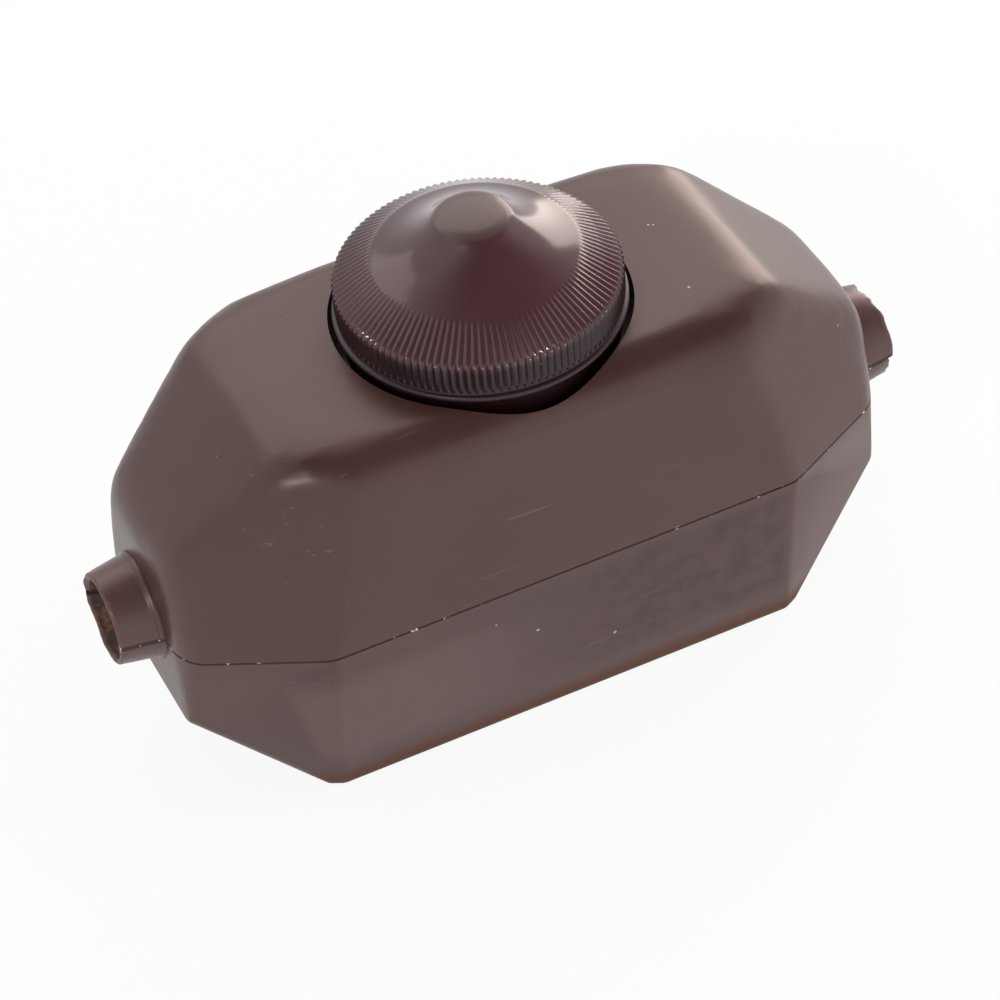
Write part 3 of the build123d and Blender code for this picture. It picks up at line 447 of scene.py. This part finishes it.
BODY_DARK = (0.052, 0.02, 0.017, 1)
BODY_LIGHT = (0.068, 0.027, 0.023, 1)
BODY_RUBBED = (0.028, 0.01, 0.009, 1)
BODY_PALE = (0.135, 0.07, 0.066, 1)
FOOT_GLOW = (0.085, 0.024, 0.003, 1)
KNOB_DARK = (0.06, 0.021, 0.025, 1)
KNOB_LIGHT = (0.086, 0.033, 0.039, 1)
KNOB_TIP = (0.1, 0.062, 0.052, 1)
KNOB_PAINTED_SHADE = (0.016, 0.005, 0.006, 1)

finishes = {
    "steel": worked_metal("turned_steel", (0.5, 0.5, 0.49), (0.66, 0.66, 0.65), 0.22, (1, 1, 0.1)),
    "brass": worked_metal("turned_brass", (0.5, 0.36, 0.16), (0.72, 0.55, 0.28), 0.25, (1, 1, 0.1)),
    "pressed": worked_metal("pressed_steel", (0.48, 0.48, 0.47), (0.66, 0.66, 0.64), 0.3, (1, 0.1, 1)),
    "screw": worked_metal("plated_screw", (0.42, 0.41, 0.38), (0.6, 0.59, 0.55), 0.3, (1, 1, 0.2)),
    "copper": worked_metal("enamelled_copper", (0.45, 0.15, 0.05), (0.7, 0.3, 0.13), 0.28, (0.2, 1, 1)),
    "sheet": worked_metal("bare_aluminium", (0.62, 0.62, 0.63), (0.78, 0.78, 0.79), 0.32, (0.1, 1, 1)),
    "wafer": plain_plastic("resin_wafer", (0.06, 0.035, 0.02), (0.13, 0.08, 0.045), 0.5, 250.0),
    "nylon": plain_plastic("natural_nylon", (0.66, 0.63, 0.54), (0.8, 0.78, 0.7), 0.4, 200.0),
    "lead": plain_plastic("red_lead_sleeve", (0.36, 0.03, 0.02), (0.55, 0.06, 0.04), 0.38, 300.0),
    "black": plain_plastic("black_moulding", (0.018, 0.018, 0.018), (0.035, 0.034, 0.033), 0.42, 160.0),
    "ferrite": plain_plastic("grey_ferrite", (0.055, 0.055, 0.06), (0.11, 0.11, 0.12), 0.6, 500.0),
    "film": plain_plastic("dipped_film_capacitor", (0.42, 0.17, 0.03), (0.64, 0.31, 0.07), 0.25, 120.0),
    "cream": plain_plastic("cream_terminal_block", (0.56, 0.53, 0.42), (0.72, 0.7, 0.6), 0.45, 140.0),
    "board": board_paper(),
    "glass": fuse_tube(),
    "resistor": banded(
        "banded_resistor",
        (0.5, 0.36, 0.2),
        [(9.6, 10.1, (0.3, 0.03, 0.02)), (10.7, 11.2, (0.02, 0.02, 0.02)), (11.8, 12.3, (0.5, 0.2, 0.02))],
        3.2,
    ),
    "diac": banded("blue_diac", (0.05, 0.14, 0.34), [(10.2, 10.7, (0.6, 0.6, 0.55))], 2.1),
}
works = {
    "housing_screws": "screw",
    "pot_shaft": "steel",
    "pot_bushing": "brass",
    "pot_washer": "pressed",
    "pot_nut": "brass",
    "pot_can": "pressed",
    "pot_track": "wafer",
    "pot_wiper": "nylon",
    "wiper_contact": "brass",
    "pot_terminals": "brass",
    "pot_leads": "lead",
    "switch_case": "black",
    "switch_terminals": "brass",
    "switch_leads": "lead",
    "circuit_board": "board",
    "board_screws": "screw",
    "choke_core": "ferrite",
    "choke_winding": "copper",
    "filter_capacitor": "film",
    "timing_capacitor": "film",
    "resistors": "resistor",
    "diac": "diac",
    "fuse_glass": "glass",
    "fuse_caps": "pressed",
    "fuse_clips": "brass",
    "triac": "black",
    "heat_sink": "sheet",
    "sink_screw": "screw",
    "sink_nut": "screw",
    "input_terminal": "cream",
    "output_terminal": "cream",
    "terminal_screws": "screw",
    "input_cord_clamp": "black",
    "output_cord_clamp": "black",
    "clamp_screws": "screw",
}


def paint(piece, material):
    """Gives the whole piece one material."""
    piece.data.materials.clear()
    piece.data.materials.append(material)


for node_name, finish_name in works.items():
    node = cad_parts[node_name]
    for slot in node.material_slots:
        slot.material = finishes[finish_name]


# Shells: the moulded forms, with smooth edges and torn stub mouths


def smooth_copy(node_name, piece_name, sharp_degrees):
    """The node's mesh as a joined skin whose soft edges are shaded smooth."""
    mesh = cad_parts[node_name].data.copy()
    mesh.name = piece_name
    work = bmesh.new()
    work.from_mesh(mesh)
    bmesh.ops.remove_doubles(work, verts=work.verts, dist=1e-6)
    for face in work.faces:
        face.smooth = True
    for edge in work.edges:
        edge.smooth = not edge.is_manifold or edge.calc_face_angle(0) < math.radians(sharp_degrees)
    return mesh, work


def ease_seam(work, side):
    """Takes the seam's outer edge in a little, so that the two shells meet in a fine groove."""
    level = SEAM * MM
    everything = work.verts[:] + work.edges[:] + work.faces[:]
    plane = Vector((0, 0, level + side * 0.15 * MM))
    bmesh.ops.bisect_plane(work, geom=everything, dist=1e-7, plane_co=plane, plane_no=(0, 0, 1))
    work.normal_update()
    moves = []
    for vert in work.verts:
        if abs(vert.co.z - level) < 1e-6:
            outward = Vector((0, 0, 0))
            for face in vert.link_faces:
                if abs(face.normal.z) < 0.7:
                    outward += face.normal
            outward.z = 0
            if outward.length > 0 and outward.dot(vert.co) > 0:
                moves.append((vert, outward.normalized() * (0.16 * MM)))
    for vert, move in moves:
        vert.co -= move
    for edge in work.edges:
        if all(abs(vert.co.z - plane.z) < 1e-6 for vert in edge.verts):
            edge.smooth = False


def ramp(value, low, high):
    """0 below low, 1 above high, straight between."""
    return min(max((value - low) / (high - low), 0), 1)


def skin_share(place):
    """How freely the upper shell's skin is rounded at a place: 0 near the seam, the well and the stubs."""
    x, y, z = place
    share = ramp(z, SEAM + 3, SEAM + 9) * ramp(math.hypot(x, y), SKIN_HELD, SKIN_FREE)
    return share * ramp(math.hypot(y, z - SEAM), 9, 12) if abs(x) > 40 else share


def soften_skin(work):
    """Rounds the upper shell's outer edges wider, away from the seam, the knob's well and the stubs."""
    for axis, first, last in ((0, -42.9, 42.9), (1, -18.2, 18.2), (2, 26.1, 49.5)):
        for step in range(round((last - first) / SKIN_CELL) + 1):
            everything = work.verts[:] + work.edges[:] + work.faces[:]
            plane = Vector((0, 0, 0))
            plane[axis] = (first + step * SKIN_CELL) * MM
            facing = Vector((0, 0, 0))
            facing[axis] = 1
            bmesh.ops.bisect_plane(work, geom=everything, dist=1e-6, plane_co=plane, plane_no=facing)
    bmesh.ops.triangulate(work, faces=work.faces[:])
    merged = [vert for vert in work.verts if skin_share(vert.co / MM) > 0]
    bmesh.ops.remove_doubles(work, verts=merged, dist=0.3 * MM)
    work.normal_update()
    solid = BVHTree.FromBMesh(work)
    moving = {}
    for vert in work.verts:
        share = skin_share(vert.co / MM)
        start = vert.co + vert.normal * (0.05 * MM)
        if share > 0 and vert.normal.z > -0.3 and solid.ray_cast(start, vert.normal)[0] is None:
            moving[vert] = share
    # A vertex whose ray went astray moves with the skin around it
    for turn in range(3):
        for vert in [vert for vert in merged if vert.is_valid and vert not in moving]:
            others = [edge.other_vert(vert) for edge in vert.link_edges]
            if sum(other in moving for other in others) > len(others) / 2:
                moving[vert] = skin_share(vert.co / MM)
    near = {vert: [edge.other_vert(vert) for edge in vert.link_edges] for vert in moving}
    for turn in range(SKIN_TURNS):
        places = {}
        for vert, others in near.items():
            middle = sum((other.co for other in others), Vector((0, 0, 0))) / len(others)
            places[vert] = vert.co.lerp(middle, 0.5 * moving[vert])
        for vert, place in places.items():
            vert.co = place


def stub_outline(reach):
    """(distance along the cord, radius) over a stub's wall: out on its skin, round its mouth and back.

    reach scales the outer radius: the lower half is a little slimmer than the upper one.
    """
    skin = [(44.9, 6.6), (45.45, 6.6), (45.6, 6.42)]
    for step in range(1, 13):
        along = 45.6 + (STUB_MOUTH - 0.12 - 45.6) * step / 12
        skin.append((along, 6.42 - 0.72 * step / 12))
    mouth = [(STUB_MOUTH, 5.6), (STUB_MOUTH, 5.35), (STUB_MOUTH - 0.06, 5.1), (STUB_MOUTH - 0.5, 4.85)]
    bore = [(STUB_MOUTH - 1.0 - 1.6 * step / 4, 4.8 - 0.8 * (step / 4) ** 0.7) for step in range(5)]
    bore += [(STUB_MOUTH - 2.6 - (STUB_MOUTH - 47.8) * step / 4, BORE_RADIUS) for step in range(1, 5)]
    outline = []
    for along, radius in skin + mouth + bore:
        outer = along > STUB_ROOT and radius > 5
        outline.append((along, radius * reach if outer else radius))
    return outline


def torn_stub(work, end, side, tear, loss, seed):
    """Half of a cord stub, finely divided, with its open end broken off unevenly.

    end is -1 for the left stub and 1 for the right one, side 1 for the upper half. tear is the place
    round the mouth where most has broken away, as an angle in degrees from +Y, and loss how much.
    """
    outline = stub_outline(1.0 if side > 0 else 0.965)
    columns = []
    for column in range(73):
        angle = math.pi * column / 72
        across = math.cos(angle)
        up = math.sin(angle) * side
        off = abs((math.degrees(math.atan2(up, across)) - tear + 180) % 360 - 180)
        most = 0.06 + loss * max(1 - off / 80, 0)
        ring = []
        for along, radius in outline:
            depth = max((along - STUB_MOUTH + 1.9) / 1.9, 0)
            rough = noise.noise(Vector((seed, across * 2.2, up * 2.2))) + 0.45
            fine = noise.noise(Vector((seed + 9, across * 9, up * 9))) * 0.18
            along = along - max(rough + fine, 0) * most * depth**1.5 * 1.5
            radius = radius + noise.noise(Vector((along, angle * 3, seed))) * 0.08 * depth
            place = (end * along * MM, across * radius * MM, (SEAM + up * radius) * MM)
            ring.append(work.verts.new(place))
        columns.append(ring)
    made = []
    for first, second in zip(columns, columns[1:]):
        for at in range(len(outline) - 1):
            corners = (first[at], second[at], second[at + 1], first[at + 1])
            made.append(work.faces.new(corners if end * side > 0 else corners[::-1]))
    for face in made:
        face.smooth = True
    flats = [work.faces.new(columns[0]), work.faces.new(columns[-1])]
    bmesh.ops.recalc_face_normals(work, faces=made + flats)
    for flat in flats:
        for edge in flat.edges:
            edge.smooth = False


def new_stubs(work, side, seed):
    """Takes the CAD model's plain stubs off the shell and sets the torn ones in their place."""
    for end in (-1, 1):
        everything = work.verts[:] + work.edges[:] + work.faces[:]
        plane = (end * (STUB_ROOT + 0.02) * MM, 0, 0)
        bmesh.ops.bisect_plane(
            work, geom=everything, dist=1e-8, plane_co=plane, plane_no=(end, 0, 0), clear_outer=True
        )
    torn_stub(work, -1, side, 20.0 if side > 0 else -25.0, LEFT_LOSS, seed)
    torn_stub(work, 1, side, 70.0 if side > 0 else -140.0, RIGHT_LOSS, seed + 40)


def dressed_shell(node_name, piece_name, material, side, seed):
    """A shell of the housing, ready to ride on it in place of its CAD node."""
    mesh, work = smooth_copy(node_name, piece_name, 32)
    if side > 0:
        soften_skin(work)
    ease_seam(work, side)
    new_stubs(work, side, seed)
    work.to_mesh(mesh)
    work.free()
    piece = bpy.data.objects.new(piece_name, mesh)
    bpy.context.scene.collection.objects.link(piece)
    paint(piece, material)
    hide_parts(node_name)
    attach(piece, "housing")


upper_plastic = shell_plastic("upper_shell_plastic", 0.3)
lower_plastic = shell_plastic("lower_shell_plastic", 0.34)
dressed_shell("upper_shell", "upper_shell_moulding", upper_plastic, 1, 3.0)
dressed_shell("lower_shell", "lower_shell_moulding", lower_plastic, -1, 17.0)


# Knob: one ribbed skin, turned about its axis


def arc_through(start, middle, end, steps):
    """Points on the arc from start through middle to end, start left out."""
    ax, ay = start
    bx, by = middle
    cx, cy = end
    d = 2 * (ax * (by - cy) + bx * (cy - ay) + cx * (ay - by))
    a = ax * ax + ay * ay
    b = bx * bx + by * by
    c = cx * cx + cy * cy
    ux = (a * (by - cy) + b * (cy - ay) + c * (ay - by)) / d
    uy = (a * (cx - bx) + b * (ax - cx) + c * (bx - ax)) / d
    first = math.atan2(ay - uy, ax - ux)
    last = math.atan2(cy - uy, cx - ux)
    sweep = (last - first + math.pi) % (2 * math.pi) - math.pi
    radius = math.hypot(ax - ux, ay - uy)
    points = []
    for step in range(1, steps + 1):
        angle = first + sweep * step / steps
        points.append((ux + radius * math.cos(angle), uy + radius * math.sin(angle)))
    return points


def knob_outline():
    """(radius, height, rib strength) down the knob's skin, from the tip to the bore, in millimetres."""
    crown = [(3.6 * step / 6, KNOB_TOP - 0.3 * (step / 6) ** 2, 0) for step in range(7)]
    crown += [(4.1, KNOB_TOP - 0.5, 0), (4.5, KNOB_TOP - 0.8, 0)]
    bell = arc_through((4.8, KNOB_TOP - 1.12), (7.85, KNOB_TOP - 3.75), (11.7, KNOB_TOP - 5.68), 18)
    bell = [(4.8, KNOB_TOP - 1.12, 0)] + [(r, z, 0) for r, z in bell]
    rim = KNOB_RIM
    lip = KNOB_LIP
    shoulder = [
        (12.0, rim + 2.9, 0.1),
        (12.3, rim + 2.7, 0.35),
        (12.8, rim + 2.38, 0.6),
        (14.0, rim + 1.62, 0.85),
        (15.2, rim + 0.85, 0.95),
        (16.0, rim + 0.34, 1.0),
        (16.35, rim + 0.08, 1.0),
        (16.52, rim - 0.15, 1.0),
        (16.6, rim - 0.45, 1.0),
        (16.6, rim - 1.4, 1.0),
        (16.6, rim - 2.6, 1.0),
        (16.6, lip + 1.5, 1.0),
        (16.52, lip + 1.35, 0.4),
    ]
    foot = [
        (16.45, lip + 1.3, 0),
        (16.45, lip + 0.95, 0),
        (16.5, lip + 0.85, 0),
        (16.78, lip + 0.8, 0),
        (16.92, lip + 0.66, 0),
        (16.95, lip + 0.4, 0),
        (16.9, lip + 0.15, 0),
        (16.7, lip + 0.02, 0),
        (16.2, lip, 0),
        (15.95, lip - 0.1, 0),
        (15.9, lip - 0.4, 0),
        (15.9, lip - 4.1, 0),
        (15.8, lip - 4.2, 0),
        (14.2, lip - 4.2, 0),
        (14.1, lip - 4.1, 0),
        (14.1, rim - 1.8, 0),
        (11.1, rim + 1.1, 0),
        (6.6, rim + 3.3, 0),
        (5.4, rim + 3.9, 0),
        (5.4, rim - 8.5, 0),
        (5.3, rim - 8.6, 0),
        (3.05, rim - 8.6, 0),
        (3.05, rim + 3.9, 0),
        (0, rim + 3.9, 0),
    ]
    return crown + bell + shoulder + foot


def knob_tree():
    """Turns the outline about the knob's axis and presses a V groove between each two ribs."""
    tree = bpy.data.node_groups.new("ribbed_turning", "GeometryNodeTree")
    tree.interface.new_socket("Outline", in_out="INPUT", socket_type="NodeSocketGeometry")
    tree.interface.new_socket("Ribs", in_out="INPUT", socket_type="NodeSocketInt")
    tree.interface.new_socket("Columns a rib", in_out="INPUT", socket_type="NodeSocketInt")
    tree.interface.new_socket("Rib depth", in_out="INPUT", socket_type="NodeSocketFloat")
    tree.interface.new_socket("Finish", in_out="INPUT", socket_type="NodeSocketMaterial")
    tree.interface.new_socket("Knob", in_out="OUTPUT", socket_type="NodeSocketGeometry")
    sheet = Sheet(tree)
    entry = tree.nodes.new("NodeGroupInput")
    outline, ribs, columns, depth, finish = [Wire(sheet, socket) for socket in entry.outputs][:5]
    rows = sheet.node("GeometryNodeAttributeDomainSize", {"component": "MESH"}, {"Geometry": outline})
    around = ribs * columns
    counts = {"Vertices X": around + 1, "Vertices Y": rows, "Size X": 1.0, "Size Y": 1.0}
    grid = sheet.node("GeometryNodeMeshGrid", {}, counts)
    index = sheet.node("GeometryNodeInputIndex")
    row = index % rows
    column = ((index + 0.5) / rows).whole()
    sample = {"data_type": "FLOAT_VECTOR", "domain": "POINT"}
    here = sheet.node("GeometryNodeInputPosition")
    point = sheet.node("GeometryNodeSampleIndex", sample, {"Geometry": outline, 1: here, "Index": row})
    strength = sheet.node("GeometryNodeInputNamedAttribute", {"data_type": "FLOAT"}, {"Name": "rib"})
    ribbed = sheet.node(
        "GeometryNodeSampleIndex",
        {"data_type": "FLOAT", "domain": "POINT"},
        {"Geometry": outline, 1: strength, "Index": row},
    )
    radius, level, height = sheet.parts(point)
    valley = abs((column / columns) % 1.0 * 2 - 1)
    radius = radius - depth * ribbed * valley**1.15
    turn = column / around * (2 * math.pi)
    place = sheet.node(
        "ShaderNodeCombineXYZ",
        {},
        {0: radius * turn.maths("COSINE", turn), 1: radius * turn.maths("SINE", turn), 2: height},
    )
    turned = sheet.node("GeometryNodeSetPosition", {}, {"Geometry": grid, "Position": place})
    closed = sheet.node("GeometryNodeMergeByDistance", {}, {"Geometry": turned, "Distance": 0.002 * MM})
    whole = sheet.node("GeometryNodeRealizeInstances", {}, {"Geometry": closed})
    painted = sheet.node("GeometryNodeSetMaterial", {}, {"Geometry": whole, "Material": finish})
    last = tree.nodes.new("NodeGroupOutput")
    tree.links.new(painted.socket, last.inputs[0])
    return tree


def plain_mesh(piece):
    """The piece with its modifiers worked out, as one plain mesh."""
    depsgraph = bpy.context.evaluated_depsgraph_get()
    mesh = bpy.data.meshes.new_from_object(piece.evaluated_get(depsgraph))
    piece.modifiers.clear()
    piece.data = mesh
    mesh.name = piece.name


def ribbed_knob():
    """The knob's skin, turned from its outline."""
    outline = knob_outline()
    mesh = bpy.data.meshes.new("ribbed_knob")
    mesh.from_pydata([(r * MM, 0, z * MM) for r, z, rib in outline], [], [])
    strengths = mesh.attributes.new("rib", "FLOAT", "POINT")
    for index, (r, z, rib) in enumerate(outline):
        strengths.data[index].value = rib
    piece = bpy.data.objects.new("ribbed_knob", mesh)
    bpy.context.scene.collection.objects.link(piece)
    turning = piece.modifiers.new("turning", "NODES")
    turning.node_group = knob_tree()
    inputs = {
        item.name: item.identifier
        for item in turning.node_group.interface.items_tree
        if item.item_type == "SOCKET" and item.in_out == "INPUT"
    }
    turning[inputs["Ribs"]] = KNOB_RIBS
    turning[inputs["Columns a rib"]] = RIB_COLUMNS
    turning[inputs["Rib depth"]] = RIB_DEPTH * MM
    turning[inputs["Finish"]] = knob_plastic()
    plain_mesh(piece)
    work = bmesh.new()
    work.from_mesh(piece.data)
    bmesh.ops.recalc_face_normals(work, faces=work.faces)
    for face in work.faces:
        face.smooth = True
    for edge in work.edges:
        edge.smooth = edge.calc_face_angle(0) < math.radians(50)
    work.to_mesh(piece.data)
    work.free()
    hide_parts("knob")
    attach(piece, "rotor")


ribbed_knob()


# Camera, floor and light


def photo_camera():
    """The photograph's view: a long lens, from the front and the left, tilted a little."""
    azimuth = math.radians(21.793)
    elevation = math.radians(43.609)
    roll = math.radians(-5.512)
    distance, aside, lower = 506.42, 0.4, 3.49
    focal_pixels, picture_pixels = 4303.7, 1000
    flat = math.cos(elevation)
    back = Vector((-math.sin(azimuth) * flat, -math.cos(azimuth) * flat, math.sin(elevation)))
    level = Vector((math.cos(azimuth), -math.sin(azimuth), 0))
    up = back.cross(level)
    right = math.cos(roll) * level + math.sin(roll) * up
    top = -math.sin(roll) * level + math.cos(roll) * up
    lens = bpy.data.cameras.new("photo_camera")
    lens.sensor_width = 36
    lens.lens = focal_pixels / picture_pixels * 36
    lens.clip_start = 0.01
    lens.clip_end = 20
    camera = bpy.data.objects.new("photo_camera", lens)
    centre = Vector((0, 0, SEAM * MM)) + back * (distance * MM) + right * (aside * MM) - top * (lower * MM)
    camera.matrix_world = Matrix(
        (
            (right.x, top.x, back.x, centre.x),
            (right.y, top.y, back.y, centre.y),
            (right.z, top.z, back.z, centre.z),
            (0, 0, 0, 1),
        )
    )
    bpy.context.scene.collection.objects.link(camera)
    bpy.context.scene.camera = camera


def white_to_camera(name, colour):
    """Pale matt surface that the camera and reflections see nearly white, with the object's shadow on it."""
    material, sheet, place, shader = new_finish(name)
    feed(sheet, shader, Base_Color=colour, Roughness=0.9, Specular_IOR_Level=0.1)
    path = sheet.node("ShaderNodeLightPath").socket.node.outputs
    seen = Wire(sheet, path["Is Camera Ray"]) + Wire(sheet, path["Is Glossy Ray"])
    seen = (seen + Wire(sheet, path["Is Transmission Ray"])).least(1.0)
    white = sheet.node("ShaderNodeEmission", {}, {"Color": (1, 1, 1, 1), "Strength": 1.0})
    lit = Wire(sheet, shader.outputs[0])
    both = sheet.node("ShaderNodeMixShader", {}, {0: seen * 0.9, 1: lit, 2: white})
    end = [node for node in sheet.tree.nodes if node.type == "OUTPUT_MATERIAL"][0]
    sheet.tree.links.new(both.socket, end.inputs["Surface"])
    return material


def floor():
    """Large pale floor under the object."""
    work = bmesh.new()
    bmesh.ops.create_grid(work, x_segments=1, y_segments=1, size=4.0)
    mesh = bpy.data.meshes.new("pale_floor")
    work.to_mesh(mesh)
    work.free()
    piece = bpy.data.objects.new("pale_floor", mesh)
    bpy.context.scene.collection.objects.link(piece)
    paint(piece, white_to_camera("pale_floor", (0.95, 0.95, 0.95, 1)))


def lamp(name, place, target, size, watts, colour=(1, 1, 1), mirrored=True):
    """Soft square lamp that points at target. A fill lamp isn't mirrored in the gloss."""
    light = bpy.data.lights.new(name, "AREA")
    light.shape = "RECTANGLE"
    light.size, light.size_y = size
    light.energy = watts
    light.color = colour
    piece = bpy.data.objects.new(name, light)
    piece.location = place
    piece.rotation_euler = (Vector(target) - Vector(place)).to_track_quat("-Z", "Y").to_euler()
    piece.visible_glossy = mirrored
    bpy.context.scene.collection.objects.link(piece)


def studio():
    """Pale world, dimmer overhead for reflections, and five soft lamps."""
    world = bpy.data.worlds.new("studio")
    world.use_nodes = True
    world.node_tree.nodes.clear()
    sheet = Sheet(world.node_tree)
    path = sheet.node("ShaderNodeLightPath").socket.node.outputs
    towards = sheet.node("ShaderNodeTexCoord", {}, {}, output="Generated")
    dim_side = {0: towards, 1: (0.2, -0.3, 0.93)}
    overhead = sheet.node("ShaderNodeVectorMath", {"operation": "DOT_PRODUCT"}, dim_side, output="Value")
    glossy = Wire(sheet, path["Is Glossy Ray"]) * (0.36 - sheet.step(overhead, 0.5, 0.92) * 0.86)
    seen = Wire(sheet, path["Is Camera Ray"]).most(Wire(sheet, path["Is Transmission Ray"]))
    strength = 0.55 + seen * 0.45 + glossy
    sky = sheet.node("ShaderNodeBackground", {}, {"Color": (1, 1, 1, 1), "Strength": strength})
    sheet.node("ShaderNodeOutputWorld", {}, {"Surface": sky})
    bpy.context.scene.world = world
    middle = (0, 0, 30 * MM)
    lamp("sky_panel", (0.05, 0.58, 0.6), middle, (1.1, 0.5), 2.0, colour=(1.0, 0.9, 0.82))
    lamp("left_spark", (-0.5, -0.41, 0.5), middle, (0.08, 0.08), 0.9)
    lamp("low_right", (0.62, 0.5, 0.25), middle, (0.45, 0.48), 2.9, colour=(1.0, 0.87, 0.78))
    lamp("right_side", (0.75, -0.2, 0.25), middle, (0.3, 0.3), 2.9, mirrored=False)
    lamp("front_fill", (-0.35, -0.75, 0.3), middle, (0.5, 0.3), 0.6, mirrored=False)


photo_camera()
floor()
studio()
bpy.context.scene.view_settings.view_transform = "Standard"
